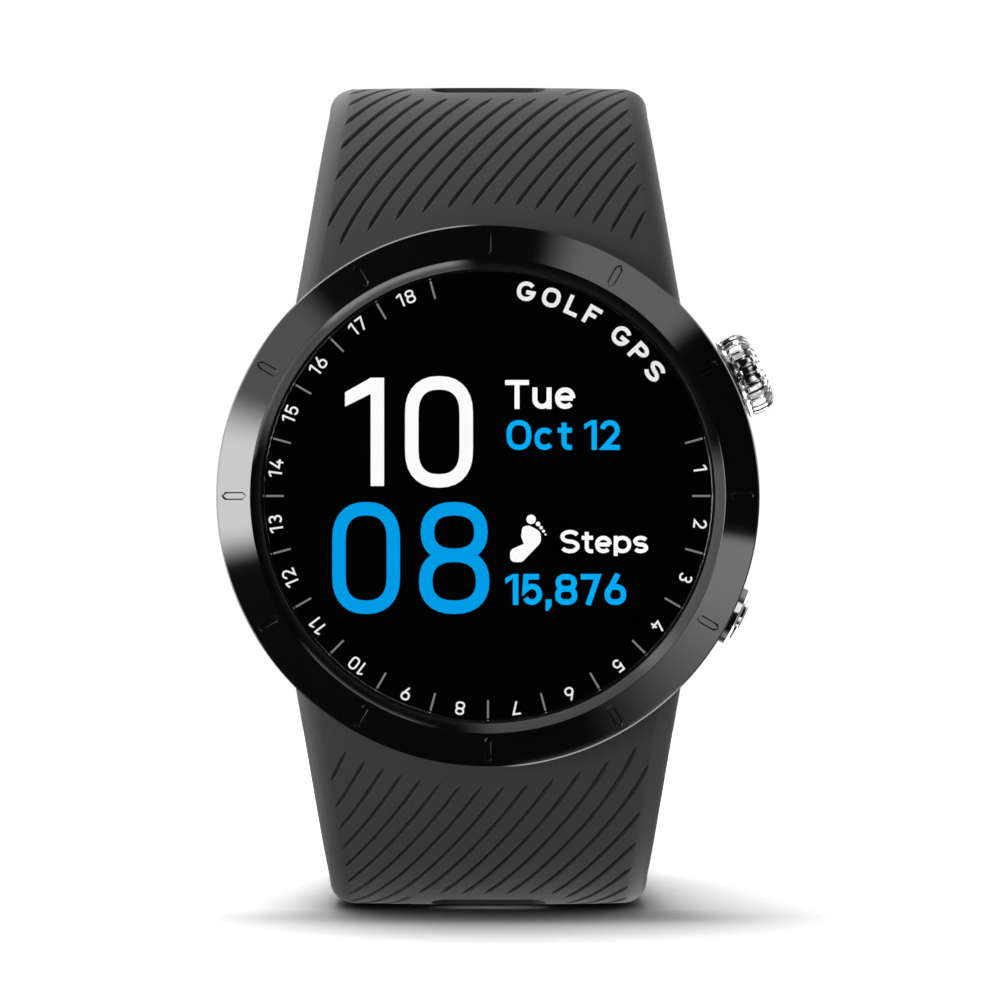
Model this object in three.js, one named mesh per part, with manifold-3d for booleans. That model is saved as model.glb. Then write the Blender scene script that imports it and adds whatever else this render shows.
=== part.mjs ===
// Golf GPS watch with an unfastened strap, standing on the flat of its lower strap half.
// Millimetres. +X to three o'clock, +Z to twelve o'clock, +Y out of the case back to the wrist.
// The origin is the middle of the flat case back.
import * as THREE from "three";
import { mergeVertices } from "three/addons/utils/BufferGeometryUtils.js";
import Module from "manifold-3d";

const wasm = await Module();
wasm.setup();

// Driving dimensions
const bezelRadius = 23.5;
const bezelFront = -13.2;
const bezelUnderside = -10.3;
const bezelMarks = 12;
const caseRadius = 22;
const cavityRadius = 17.2;
const neckRadius = 20.9;
const glassRadius = 19.45;
const backSeat = -1.9;
const controlDepth = -6;
const crownAngle = 25.3;
const buttonAngle = -26;
const crownTravel = 0.6;
const buttonTravel = 0.5;
const crownFlutes = 28;
const lugInner = 11.3;
const lugOuter = 14.3;
const barY = -3.6;
const barZ = 24.8;
const strapClearRadius = 23.2;
const slotLength = 10.4;
const slotWidth = 3;
const slotPitch = 7.5;
const firstSlot = 24.8;
const buckleHalfWidth = 14.7;
const strapEndHalfWidth = 12;
const pinFromEnd = 1.7;
const fixedKeeperFromPin = 11.5;
const freeKeeperFromPin = 18.6;
const ringSegments = 40;
const smallSegments = 14;

const origin = new THREE.Vector3();
const xAxis = new THREE.Vector3(1, 0, 0);
const yAxis = new THREE.Vector3(0, 1, 0);
const zAxis = new THREE.Vector3(0, 0, 1);

// Finishes
const finish = (color, roughness, metalness = 0) =>
  new THREE.MeshStandardMaterial({ color, roughness, metalness });
const finishes = {
  ceramic: finish(0x0b0b0c, 0.12),
  steel: finish(0xc9cacc, 0.18, 1),
  blackSteel: finish(0x1c1c1e, 0.35, 0.9),
  polymer: finish(0x17171a, 0.55),
  rubber: finish(0x2b2b2c, 0.7),
  seal: finish(0x3a3a3c, 0.8),
  glass: finish(0x050506, 0.05),
  panel: finish(0x020203, 0.2),
  board: finish(0x0f4a2c, 0.5),
  cell: finish(0x9a9da2, 0.4, 0.6),
  gold: finish(0xd9ae4e, 0.25, 1),
  patch: finish(0xb9a888, 0.7),
  flex: finish(0xb8742a, 0.5),
};

// Solids and booleans
function toSolid(geometry) {
  const bare = geometry.index ? geometry.toNonIndexed() : geometry.clone();
  bare.deleteAttribute("normal");
  bare.deleteAttribute("uv");
  const merged = mergeVertices(bare, 1e-4);
  const kept = [];
  const index = merged.index.array;
  for (let i = 0; i < index.length; i += 3) {
    const [a, b, c] = index.slice(i, i + 3);
    if (a !== b && b !== c && c !== a) kept.push(a, b, c);
  }
  const meshOf = (triangles) =>
    new wasm.Mesh({
      numProp: 3,
      vertProperties: merged.attributes.position.array,
      triVerts: new Uint32Array(triangles),
    });
  const solid = new wasm.Manifold(meshOf(kept));
  return solid.volume() > 0 ? solid : new wasm.Manifold(meshOf(kept.reverse()));
}

function toGeometry(solid) {
  const mesh = solid.getMesh();
  const geometry = new THREE.BufferGeometry();
  geometry.setAttribute("position", new THREE.BufferAttribute(mesh.vertProperties, 3));
  geometry.setIndex(new THREE.BufferAttribute(mesh.triVerts, 1));
  return geometry;
}

const cut = (solid, ...tools) => tools.reduce((left, tool) => left.subtract(tool), solid);
const join = (solid, ...others) => others.reduce((sum, other) => sum.add(other), solid);

// Shape builders
const turned = (profile, segments = ringSegments) =>
  toSolid(new THREE.LatheGeometry(profile.map(([r, y]) => new THREE.Vector2(r, y)), segments));

const ring = (inner, outer, low, high, segments = ringSegments) =>
  turned([[inner, low], [outer, low], [outer, high], [inner, high], [inner, low]], segments);

const disc = (radius, low, high, segments = ringSegments) =>
  turned([[0, low], [radius, low], [radius, high], [0, high]], segments);

function torus(radius, sectionRadius, height, segments, sides) {
  const geometry = new THREE.TorusGeometry(radius, sectionRadius, sides, segments);
  geometry.rotateX(Math.PI / 2);
  geometry.translate(0, height, 0);
  return toSolid(geometry);
}

// A solid rod along X
function rod(radius, fromX, toX, y, z, segments = smallSegments) {
  const geometry = new THREE.CylinderGeometry(radius, radius, toX - fromX, segments);
  geometry.rotateZ(Math.PI / 2);
  geometry.translate((fromX + toX) / 2, y, z);
  return toSolid(geometry);
}

function block(sizeX, sizeY, sizeZ, x, y, z) {
  const geometry = new THREE.BoxGeometry(sizeX, sizeY, sizeZ);
  geometry.translate(x, y, z);
  return toSolid(geometry);
}

function extruded(shape, depth, curveSegments = 4) {
  const settings = { depth, bevelEnabled: false, curveSegments, steps: 1 };
  return new THREE.ExtrudeGeometry(shape, settings);
}

// An outline in (Y, Z), extruded along X
function alongX(shape, fromX, toX, curveSegments = 4) {
  const geometry = extruded(shape, toX - fromX, curveSegments);
  geometry.applyMatrix4(new THREE.Matrix4().makeBasis(yAxis, zAxis, xAxis));
  geometry.translate(fromX, 0, 0);
  return toSolid(geometry);
}

function roundedRectangle(halfWidth, low, high, radius) {
  const shape = new THREE.Shape();
  shape.moveTo(halfWidth, low + radius);
  shape.absarc(halfWidth - radius, high - radius, radius, 0, Math.PI / 2, false);
  shape.absarc(-halfWidth + radius, high - radius, radius, Math.PI / 2, Math.PI, false);
  shape.absarc(-halfWidth + radius, low + radius, radius, Math.PI, Math.PI * 1.5, false);
  shape.absarc(halfWidth - radius, low + radius, radius, Math.PI * 1.5, Math.PI * 2, false);
  return shape;
}

const placed = (solid, matrix) => toSolid(toGeometry(solid).applyMatrix4(matrix));
const quarterTurns = (count) => [...Array(count).keys()];

// The frame of a control on the case flank: its local +Y points out of the case
function flankMatrix(angleDegrees) {
  const angle = THREE.MathUtils.degToRad(angleDegrees);
  const outwards = new THREE.Vector3(Math.cos(angle), 0, Math.sin(angle));
  const sideways = new THREE.Vector3().crossVectors(outwards, yAxis);
  const matrix = new THREE.Matrix4().makeBasis(sideways, outwards, yAxis.clone());
  return matrix.setPosition(0, controlDepth, 0);
}
const crownFrame = flankMatrix(crownAngle);
const buttonFrame = flankMatrix(buttonAngle);

const watch = new THREE.Group();
function add(name, solid, material, parent = watch) {
  const mesh = new THREE.Mesh(toGeometry(solid), material);
  mesh.name = name;
  parent.add(mesh);
  return mesh;
}

// Bezel: a ceramic ring with a sloping face and twelve six-sided marks sunk in it
const bezelCrestRadius = 20.5;
const bezelSlope = Math.atan2(0.85, 2.75);
function makeBezel() {
  let solid = turned([
    [bezelCrestRadius, bezelFront], [23.25, -12.35], [bezelRadius, -12.1], [bezelRadius, -10.7],
    [23.1, bezelUnderside], [21.05, bezelUnderside], [21.05, -12.3], [19.65, -12.3],
    [19.65, -12.65], [bezelCrestRadius, bezelFront],
  ], 40);
  const mark = new THREE.Shape();
  const [halfLength, halfWidth, point] = [1.2, 0.4, 0.4];
  mark.moveTo(-halfLength, 0);
  mark.lineTo(-halfLength + point, -halfWidth);
  mark.lineTo(halfLength - point, -halfWidth);
  mark.lineTo(halfLength, 0);
  mark.lineTo(halfLength - point, halfWidth);
  mark.lineTo(-halfLength + point, halfWidth);
  for (const step of quarterTurns(bezelMarks)) {
    const geometry = extruded(mark, 1);
    geometry.translate(0, 0, -0.18);
    geometry.rotateX(Math.PI / 2);
    geometry.rotateZ(bezelSlope);
    geometry.translate(21.85, -12.78, 0);
    geometry.rotateY((step * 2 * Math.PI) / bezelMarks);
    solid = cut(solid, toSolid(geometry));
  }
  return solid;
}

// Case body: a round shell with a neck for the glass, four lugs and two bores in its flank
const lugRadius = 1.8;
function lugOutline(grow) {
  const shape = new THREE.Shape();
  shape.moveTo(barY + lugRadius + grow, barZ);
  shape.absarc(barY, barZ, lugRadius + grow, 0, Math.PI, false);
  shape.lineTo(barY - lugRadius - 0.3 - grow, 15);
  shape.lineTo(barY + lugRadius + grow, 15);
  return shape;
}

const screwCircle = 18.6;
const screwAngles = [45, 135, 225, 315];
const atScrew = (solid, angle) =>
  placed(solid, new THREE.Matrix4().makeRotationY(THREE.MathUtils.degToRad(angle))
    .multiply(new THREE.Matrix4().makeTranslation(screwCircle, 0, 0)));

function makeMidCase() {
  let solid = turned([
    [caseRadius, -9.9], [caseRadius, -3], [20.9, -0.8], [20.25, -0.8], [20.25, backSeat],
    [cavityRadius, backSeat], [cavityRadius, -10.9], [17.6, -11.1], [19.75, -11.1],
    [19.75, -12.2], [neckRadius, -12.2], [neckRadius, -10.1], [21.8, -10.1], [caseRadius, -9.9],
  ], 40);
  for (const side of [-1, 1])
    for (const end of [-1, 1]) {
      const from = side > 0 ? lugInner : -lugOuter;
      const to = side > 0 ? lugOuter : -lugInner;
      const whole = alongX(lugOutline(0), from, to, 5);
      const hole = rod(0.62, side > 0 ? from - 1 : to - 1.3, side > 0 ? from + 1.3 : to + 1, barY, barZ, 10);
      const lug = cut(whole, disc(caseRadius - 1.2, -8, 2, 40), hole);
      solid = join(solid, end > 0 ? lug : placed(lug, new THREE.Matrix4().makeScale(1, 1, -1)));
    }
  const crownBore = placed(disc(2.15, 15, 24, 20), crownFrame);
  const buttonBore = placed(disc(2.15, 15, 24, 20), buttonFrame);
  const screwHole = disc(0.62, -5, -1, 10);
  return cut(solid, crownBore, buttonBore, ...screwAngles.map((a) => atScrew(screwHole, a)));
}

// Case back: a shallow cup with a seal groove, four screw holes and four contact holes
const contactZ = -10;
const contactPlaces = [-3.9, -1.3, 1.3, 3.9];
function makeCaseBack() {
  const solid = turned([
    [0, -1.8], [15.6, -1.8], [15.6, -3], [16.8, -3], [16.8, -2.75], [16.2, -2.75],
    [16.2, -2.1], [16.8, -2.1], [16.8, -1.8], [20, -1.8], [20, -0.95], [19.8, -0.75],
    [17.2, -0.75], [15.8, 0], [0, 0],
  ], 40);
  const screwHole = join(disc(1.35, -1.32, 0.5, 12), disc(0.7, -3, 0, 10));
  const holes = screwAngles.map((a) => atScrew(screwHole, a));
  const contactHoles = contactPlaces.map((x) =>
    placed(disc(0.9, -2.5, 0.5, 12), new THREE.Matrix4().makeTranslation(x, 0, contactZ)));
  return cut(solid, ...holes, ...contactHoles);
}

function makeScrew() {
  const socket = disc(0.5, -1.1, -0.5, 6);
  return cut(join(disc(1.2, -1.26, -0.8, 12), disc(0.55, -4.7, -1.2, 10)), socket);
}

// Straps. Their outer faces follow a path in (Y, Z), and the lower half uses it upside down.
function strapStart() {
  const path = new THREE.Path();
  path.moveTo(-9.9, 16.5);
  path.bezierCurveTo(-8.3, 27.5, -4.5, 37, 5, 37);
  return path;
}
const upperBend = { y: 16, z: 17, radius: 20 };
const upperStraight = 24;
const lowerBend = { y: 46, z: 11, radius: 26 };
const tailHeight = 11;
const upperPath = strapStart();
upperPath.lineTo(upperBend.y, 37);
upperPath.absarc(upperBend.y, upperBend.z, upperBend.radius, Math.PI / 2, 0, true);
upperPath.lineTo(upperBend.y + upperBend.radius, upperBend.z - upperStraight);
const lowerPath = strapStart();
lowerPath.lineTo(lowerBend.y, 37);
lowerPath.absarc(lowerBend.y, lowerBend.z, lowerBend.radius, Math.PI / 2, 0, true);
lowerPath.lineTo(lowerBend.y + lowerBend.radius, -tailHeight);

const strapHalfWidth = (s) =>
  14.25 + 2.7 * Math.max(0, 1 - s / 22) ** 1.35 - 2.25 * THREE.MathUtils.smoothstep(s, 28, 60);
const strapThickness = (s) => 2.8 + 2.4 * (1 - THREE.MathUtils.smoothstep(s, 9, 26));

// The frame on a strap's outer face at arc length s: X, along the strap, and out of the face
function strapFrame(path, s, depth = 0) {
  const share = Math.min(1, s / path.getLength());
  const point = path.getPointAt(share);
  const tangent = path.getTangentAt(share);
  const along = new THREE.Vector3(0, tangent.x, tangent.y);
  const outwards = new THREE.Vector3().crossVectors(xAxis, along);
  const matrix = new THREE.Matrix4().makeBasis(xAxis, along, outwards);
  return matrix.setPosition(0, point.x - outwards.y * depth, point.y - outwards.z * depth);
}

function strapBlank(path, steps) {
  const [baseWidth, baseThickness] = [10, 2.8];
  const section = new THREE.Shape();
  section.moveTo(-baseWidth, -1.5);
  section.quadraticCurveTo(-baseWidth, 0, -baseWidth + 1.9, 0);
  section.lineTo(baseWidth - 1.9, 0);
  section.quadraticCurveTo(baseWidth, 0, baseWidth, -1.5);
  section.lineTo(baseWidth, -baseThickness + 0.4);
  section.lineTo(baseWidth - 0.4, -baseThickness);
  section.lineTo(-baseWidth + 0.4, -baseThickness);
  section.lineTo(-baseWidth, -baseThickness + 0.4);
  const settings = { depth: 1, bevelEnabled: false, curveSegments: 2, steps };
  const geometry = new THREE.ExtrudeGeometry(section, settings);
  const position = geometry.attributes.position;
  const length = path.getLength();
  const point = new THREE.Vector3();
  for (let i = 0; i < position.count; i++) {
    const s = position.getZ(i) * length;
    const x = position.getX(i);
    const wider = x + Math.sign(x) * (strapHalfWidth(s) - baseWidth);
    const depth = position.getY(i);
    const deeper = depth < -1.6 ? depth + baseThickness - strapThickness(s) : depth;
    point.set(wider, 0, deeper).applyMatrix4(strapFrame(path, s));
    position.setXYZ(i, point.x, point.y, point.z);
  }
  return toSolid(geometry);
}

function slotCutter(path, s) {
  const reach = slotLength / 2 - slotWidth / 2;
  const shape = new THREE.Shape();
  shape.moveTo(-reach, -slotWidth / 2);
  shape.lineTo(reach, -slotWidth / 2);
  shape.absarc(reach, 0, slotWidth / 2, -Math.PI / 2, Math.PI / 2, false);
  shape.lineTo(-reach, slotWidth / 2);
  shape.absarc(-reach, 0, slotWidth / 2, Math.PI / 2, Math.PI * 1.5, false);
  const geometry = extruded(shape, 8, 3);
  geometry.translate(0, 0, -6);
  return toSolid(geometry.applyMatrix4(strapFrame(path, s)));
}

// The room that a strap head leaves for the case, the lugs, the spring bar and its release lever
function headCutters() {
  const swungLug = (from, to) => {
    const shape = new THREE.Shape();
    shape.moveTo(barY + 12, barZ + 1.5);
    shape.lineTo(barY + 2, barZ + 1.5);
    shape.absarc(barY, barZ, lugRadius + 0.35, Math.PI / 4, Math.PI, false);
    shape.lineTo(barY - lugRadius - 2.3, 14);
    shape.lineTo(barY + 12, 14);
    return alongX(shape, from, to, 5);
  };
  return [
    disc(strapClearRadius, -14, 4, 40),
    swungLug(lugInner - 0.3, lugOuter + 0.35),
    swungLug(-lugOuter - 0.35, -lugInner + 0.3),
    rod(1, -13, 13, barY, barZ),
    block(5.6, 8, 2.4, 8.4, barY + 4, barZ),
  ];
}

const upperLength = upperPath.getLength();
const pinPlace = upperLength - pinFromEnd;
const buckleFrameMatrix = strapFrame(upperPath, pinPlace, strapThickness(pinPlace) / 2);

function makeUpperStrap() {
  const tongueNotch = block(9.6, 12, 4, 0, 1, 0);
  const pinHole = rod(0.85, -13, 13, 0, 0, 12);
  const slots = quarterTurns(3).map((i) => slotCutter(upperPath, firstSlot + i * slotPitch));
  return cut(strapBlank(upperPath, 26), ...headCutters(), ...slots,
    placed(tongueNotch, buckleFrameMatrix), placed(pinHole, buckleFrameMatrix));
}

const lowerSlots = 12;
function makeLowerStrap() {
  const tip = new THREE.Shape();
  const shoulder = 8 - tailHeight;
  tip.moveTo(-20, shoulder);
  tip.lineTo(-12.2, shoulder);
  tip.absellipse(0, shoulder, 12.2, 8.05, Math.PI, Math.PI * 2, false);
  tip.lineTo(20, shoulder);
  tip.lineTo(20, shoulder - 13);
  tip.lineTo(-20, shoulder - 13);
  const geometry = extruded(tip, 20, 8);
  geometry.applyMatrix4(new THREE.Matrix4().makeBasis(xAxis, zAxis, yAxis.clone().negate()));
  geometry.translate(0, lowerBend.y + lowerBend.radius + 10, 0);
  const slots = quarterTurns(lowerSlots).map((i) => slotCutter(lowerPath, firstSlot + i * slotPitch));
  const upright = cut(strapBlank(lowerPath, 34), ...headCutters(), ...slots, toSolid(geometry));
  return placed(upright, halfTurn);
}
const halfTurn = new THREE.Matrix4().makeRotationY(Math.PI);

// A quick-release spring bar: a tube with one fixed tip, and a sliding tip with its lever
function makeSpringBar() {
  const tube = join(rod(0.9, -10.9, 10.9, barY, barZ), rod(0.5, -12.3, -10.8, barY, barZ, 10));
  const bore = rod(0.62, 4, 12, barY, barZ, 12);
  const window = block(4.2, 3, 1.3, 7.9, barY + 1.5, barZ);
  return cut(tube, bore, window);
}
const leverTravel = 1.6;
function makeReleaseLever() {
  const knob = toSolid(new THREE.CylinderGeometry(0.5, 0.5, 2.2, 10).translate(8.9, barY + 1.1, barZ));
  return join(rod(0.5, 6.2, 12.3, barY, barZ, 10), knob);
}

// Buckle, in the frame of its pin: X, along the strap, and out of its face
function makeBuckleFrame() {
  const geometry = toSolid(extruded(roundedRectangle(buckleHalfWidth, -1.8, 12.8, 2), 2.2, 3));
  const opening = toSolid(extruded(roundedRectangle(12.4, -8, 10.2, 1), 6, 3).translate(0, 0, -2));
  const arms = placed(geometry, new THREE.Matrix4().makeTranslation(0, 0, -1.1));
  return cut(arms, opening, rod(0.62, -13.6, 13.6, 0, 0, 10));
}

function makeTongue() {
  const plate = new THREE.Shape();
  plate.moveTo(0.2, 0.4);
  plate.lineTo(9.8, 1.3);
  plate.lineTo(12.6, 1.25);
  plate.lineTo(12.9, 1.7);
  plate.lineTo(11.4, 2.5);
  plate.lineTo(9.6, 2.6);
  plate.lineTo(0.2, 1.6);
  const arm = alongX(plate, -4.2, 4.2);
  return cut(join(rod(1.65, -4.2, 4.2, 0, 0, 16), arm), rod(0.88, -6, 6, 0, 0, 12));
}

const makeBucklePin = () =>
  join(rod(0.75, -12.1, 12.1, 0, 0, 12), rod(0.5, -13.3, 13.3, 0, 0, 10));

function makeKeeper(halfWidth, low) {
  const wall = 1.3;
  const outline = roundedRectangle(halfWidth + wall, low - wall, 4.7 + wall, 2.2);
  outline.holes.push(roundedRectangle(halfWidth, low, 4.7, 0.35));
  const geometry = extruded(outline, 4.4, 3);
  geometry.translate(0, 0, -2.2);
  geometry.applyMatrix4(new THREE.Matrix4().makeBasis(xAxis, zAxis, yAxis.clone().negate()));
  return toSolid(geometry);
}
const keeperMatrix = (fromPin) =>
  buckleFrameMatrix.clone().multiply(new THREE.Matrix4().makeTranslation(0, -fromPin, 0));

// Flank controls, each built along its own axis: +Y out of the case
function makeTube(flangeRadius, flangeTop) {
  return turned([
    [0.9, 16.4], [2, 16.4], [2, caseRadius + 0.1], [flangeRadius, caseRadius + 0.1],
    [flangeRadius, flangeTop], [1.55, flangeTop], [1.55, 20.8], [0.9, 20.8], [0.9, 16.4],
  ], 20);
}

const crownRadius = 3.6;
const crownBase = 23.85;
const crownEnd = 26.5;
function makeCrown() {
  const shape = new THREE.Shape();
  for (const tooth of quarterTurns(crownFlutes)) {
    const at = (share, radius) => {
      const angle = ((tooth + share) * 2 * Math.PI) / crownFlutes;
      return [radius * Math.cos(angle), radius * Math.sin(angle)];
    };
    shape[tooth ? "lineTo" : "moveTo"](...at(0, crownRadius));
    shape.lineTo(...at(0.55, crownRadius));
    shape.lineTo(...at(0.775, crownRadius - 0.2));
  }
  const geometry = extruded(shape, crownEnd + 0.2 - crownBase);
  geometry.rotateX(-Math.PI / 2);
  geometry.translate(0, crownBase, 0);
  const barrel = turned([
    [0, crownBase], [3.35, crownBase], [3.6, crownBase + 0.3], [3.62, crownEnd - 1.1],
    [3.35, crownEnd - 0.5], [2.7, crownEnd - 0.15], [1.6, crownEnd], [0, crownEnd],
  ], 28);
  const recess = disc(2.5, crownBase - 1, crownBase + 1.1, 20);
  return cut(toSolid(geometry).intersect(barrel), recess, disc(0.84, crownBase, 25.4, 12));
}
const makeStem = (radius, from, to, clipAt) =>
  cut(disc(radius, from, to, 12), ring(radius - 0.25, radius + 1, clipAt - 0.2, clipAt + 0.2, 12));

const makeClip = (radius, at) =>
  cut(ring(radius - 0.2, radius + 0.85, at - 0.15, at + 0.15, 16),
    block(radius, 1, 4, radius + 0.6, at, 0));

function makeButton() {
  const cap = turned([
    [0, 22.95], [2.4, 22.95], [2.58, 23.15], [2.58, 24.27], [2.45, 24.4], [1.95, 24.4],
    [1.85, 24.7], [1.7, 24.8], [0, 24.8],
  ], 24);
  const stem = makeStem(0.8, 15.7, 23.5, 16.0);
  return join(cut(cap, ring(1, 1.9, 22.5, 23.6, 20)), stem);
}

// A coil spring round local Y
class Helix extends THREE.Curve {
  constructor(radius, from, to, turns) {
    super();
    Object.assign(this, { radius, from, to, turns });
  }
  getPoint(t, target = new THREE.Vector3()) {
    const angle = t * this.turns * 2 * Math.PI;
    const height = THREE.MathUtils.lerp(this.from, this.to, t);
    return target.set(this.radius * Math.cos(angle), height, this.radius * Math.sin(angle));
  }
}
function makeSpring(radius, from, to) {
  const wire = new THREE.Shape();
  wire.absarc(0, 0, 0.13, 0, Math.PI * 2, false);
  const extrudePath = new Helix(radius, from, to, 3);
  const settings = { steps: 33, extrudePath, curveSegments: 2, bevelEnabled: false };
  return toSolid(new THREE.ExtrudeGeometry(wire, settings));
}

// Display stack and the parts inside the case
function makeGlass() {
  return turned([
    [0, -11.45], [glassRadius, -11.45], [glassRadius, -12.35], [glassRadius - 0.3, -12.6],
    [0, -12.6],
  ]);
}

function makeDisplayFrame() {
  const cup = turned([
    [0, -9.2], [16.9, -9.2], [16.9, -10.9], [16.2, -10.9], [16.2, -9.8], [0, -9.8],
  ], 40);
  return cut(cup, block(7, 3, 3, 0, -9.6, -16.2));
}

function makeDisplayFlex() {
  const shape = new THREE.Shape();
  shape.moveTo(-9.95, -13.2);
  shape.lineTo(-9.95, -15.6);
  shape.quadraticCurveTo(-9.95, -16.1, -9.4, -16.1);
  shape.quadraticCurveTo(-8.72, -16.1, -8.72, -15.4);
  shape.lineTo(-8.72, -13.4);
  shape.lineTo(-8.88, -13.4);
  shape.lineTo(-8.88, -15.35);
  shape.quadraticCurveTo(-8.88, -15.9, -9.4, -15.9);
  shape.quadraticCurveTo(-9.82, -15.9, -9.82, -15.5);
  shape.lineTo(-9.82, -13.2);
  return alongX(shape, -2.6, 2.6, 3);
}

function makeMainBoard() {
  return cut(disc(15.9, -8.6, -7.8, 40), block(2.4, 2, 3, 0, -8.2, 15.9), block(2.4, 2, 3, -15.9, -8.2, 0));
}

// Assembly
add("mid_case", makeMidCase(), finishes.blackSteel);
add("bezel", makeBezel(), finishes.ceramic);
add("bezel_seal", ring(21.15, 21.7, -10.28, -10.12, 40), finishes.seal);
add("display_glass", makeGlass(), finishes.glass);
add("glass_seal", ring(18.2, 19.5, -11.4, -11.15), finishes.seal);
add("display_panel", disc(15.9, -11.38, -10.05, 40), finishes.panel);
add("display_frame", makeDisplayFrame(), finishes.polymer);
add("display_flex", makeDisplayFlex(), finishes.flex);
add("main_board", makeMainBoard(), finishes.board);
add("processor_shield", block(7.4, 1.2, 6.6, 4.4, -7.15, -9.2), finishes.cell);
add("gps_antenna", block(9, 1.7, 5.5, 0, -6.9, 12.2), finishes.patch);
add("battery", placed(disc(8.4, -5.9, -2.2, 32), new THREE.Matrix4().makeTranslation(-1, 0, 0)), finishes.cell);
add("vibration_motor", placed(disc(3.3, -7.7, -5.1, 24), new THREE.Matrix4().makeTranslation(-10.4, 0, -8.4)), finishes.steel);
add("case_back", makeCaseBack(), finishes.polymer);
add("case_back_seal", torus(16.58, 0.3, -2.42, 32, 6), finishes.seal);
screwAngles.forEach((angle, i) => {
  add(`case_back_screw_${i + 1}`, atScrew(makeScrew(), angle), finishes.steel);
});
contactPlaces.forEach((x, i) => {
  const contact = join(disc(0.8, -2.4, -0.06, 12), disc(1.2, -2.4, -2, 12));
  const moved = new THREE.Matrix4().makeTranslation(x, 0, contactZ);
  add(`charge_contact_${i + 1}`, placed(contact, moved), finishes.gold);
});

function addFlank(frame, pieces) {
  const group = new THREE.Group();
  group.applyMatrix4(frame);
  pieces.forEach(([name, solid, material]) => add(name, solid, material, group));
  watch.add(group);
}
addFlank(crownFrame, [
  ["crown_tube", makeTube(3.2, 23.2), finishes.steel],
  ["crown", makeCrown(), finishes.steel],
  ["crown_stem", makeStem(0.8, 15.6, 25.3, 15.9), finishes.steel],
  ["crown_seal", torus(1.2, 0.26, 21.7, 16, 6), finishes.seal],
  ["crown_clip", makeClip(0.8, 15.9), finishes.steel],
  ["crown_spring", makeSpring(1.95, 23.4, 24.75), finishes.steel],
  ["crown_switch", block(3, 3, 2.2, 0, 13.2, 0.2), finishes.polymer],
]);
addFlank(buttonFrame, [
  ["button_tube", makeTube(2.5, 22.4), finishes.steel],
  ["button", makeButton(), finishes.steel],
  ["button_seal", torus(1.2, 0.26, 21.65, 16, 6), finishes.seal],
  ["button_clip", makeClip(0.8, 16.0), finishes.steel],
  ["button_switch", block(3, 3, 2.2, 0, 13.3, 0.2), finishes.polymer],
]);

add("strap_buckle_side", makeUpperStrap(), finishes.rubber);
add("strap_hole_side", makeLowerStrap(), finishes.rubber);
add("spring_bar_upper", makeSpringBar(), finishes.steel);
add("release_lever_upper", makeReleaseLever(), finishes.steel);
add("spring_bar_lower", placed(makeSpringBar(), halfTurn), finishes.steel);
add("release_lever_lower", placed(makeReleaseLever(), halfTurn), finishes.steel);

const buckleGroup = new THREE.Group();
buckleGroup.applyMatrix4(buckleFrameMatrix);
add("buckle_pin", makeBucklePin(), finishes.steel, buckleGroup);
add("buckle_frame", makeBuckleFrame(), finishes.blackSteel, buckleGroup);
add("buckle_tongue", makeTongue(), finishes.blackSteel, buckleGroup);
watch.add(buckleGroup);
add("fixed_keeper", placed(makeKeeper(12.1, -1.5), keeperMatrix(fixedKeeperFromPin)), finishes.rubber);
add("free_keeper", placed(makeKeeper(12.3, -1.65), keeperMatrix(freeKeeperFromPin)), finishes.rubber);

export default watch;
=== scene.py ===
import math
import bpy
from mathutils import Matrix, Vector


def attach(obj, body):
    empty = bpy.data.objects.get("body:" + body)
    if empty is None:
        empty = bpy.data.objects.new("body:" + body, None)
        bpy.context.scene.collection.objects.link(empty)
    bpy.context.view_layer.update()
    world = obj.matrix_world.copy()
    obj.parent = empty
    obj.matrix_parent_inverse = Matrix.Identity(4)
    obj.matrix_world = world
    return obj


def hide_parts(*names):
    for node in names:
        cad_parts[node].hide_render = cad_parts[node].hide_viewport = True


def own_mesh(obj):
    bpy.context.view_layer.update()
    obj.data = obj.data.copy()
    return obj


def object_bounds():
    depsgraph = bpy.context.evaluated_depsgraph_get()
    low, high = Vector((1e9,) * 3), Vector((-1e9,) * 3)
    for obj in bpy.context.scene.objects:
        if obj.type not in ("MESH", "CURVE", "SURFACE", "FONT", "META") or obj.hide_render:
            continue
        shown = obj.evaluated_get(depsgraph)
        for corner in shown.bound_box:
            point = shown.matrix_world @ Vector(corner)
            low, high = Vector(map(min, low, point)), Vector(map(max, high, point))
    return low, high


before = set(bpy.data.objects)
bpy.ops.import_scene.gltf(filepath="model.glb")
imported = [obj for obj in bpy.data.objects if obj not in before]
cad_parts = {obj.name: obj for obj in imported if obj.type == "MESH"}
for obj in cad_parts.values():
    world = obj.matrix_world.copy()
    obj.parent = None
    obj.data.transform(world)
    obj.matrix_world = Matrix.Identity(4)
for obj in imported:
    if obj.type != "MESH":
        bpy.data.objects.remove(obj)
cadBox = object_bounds()
print("frame loaded:", len(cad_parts), "nodes")

# Everything is modelled in millimetres and brought to metres when a piece is finished.
# X is to three o'clock, Z to twelve o'clock, Y out of the case back.

# ---- modelling helpers

def deselectAll():
    if bpy.context.object and bpy.context.object.mode != "OBJECT":
        bpy.ops.object.mode_set(mode="OBJECT")
    bpy.ops.object.select_all(action="DESELECT")


def selectOnly(*objs):
    deselectAll()
    for obj in objs:
        obj.select_set(True)
    bpy.context.view_layer.objects.active = objs[0]


def editAll(obj):
    selectOnly(obj)
    bpy.ops.object.mode_set(mode="EDIT")
    bpy.ops.mesh.select_mode(type="VERT")
    bpy.ops.mesh.select_all(action="SELECT")


def loopOf(name, points):
    # a closed loop of vertices, laid on the given points
    deselectAll()
    bpy.ops.mesh.primitive_circle_add(vertices=len(points), radius=1)
    obj = bpy.context.object
    obj.name = obj.data.name = name
    for vertex, point in zip(obj.data.vertices, points):
        vertex.co = point
    return obj


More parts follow.
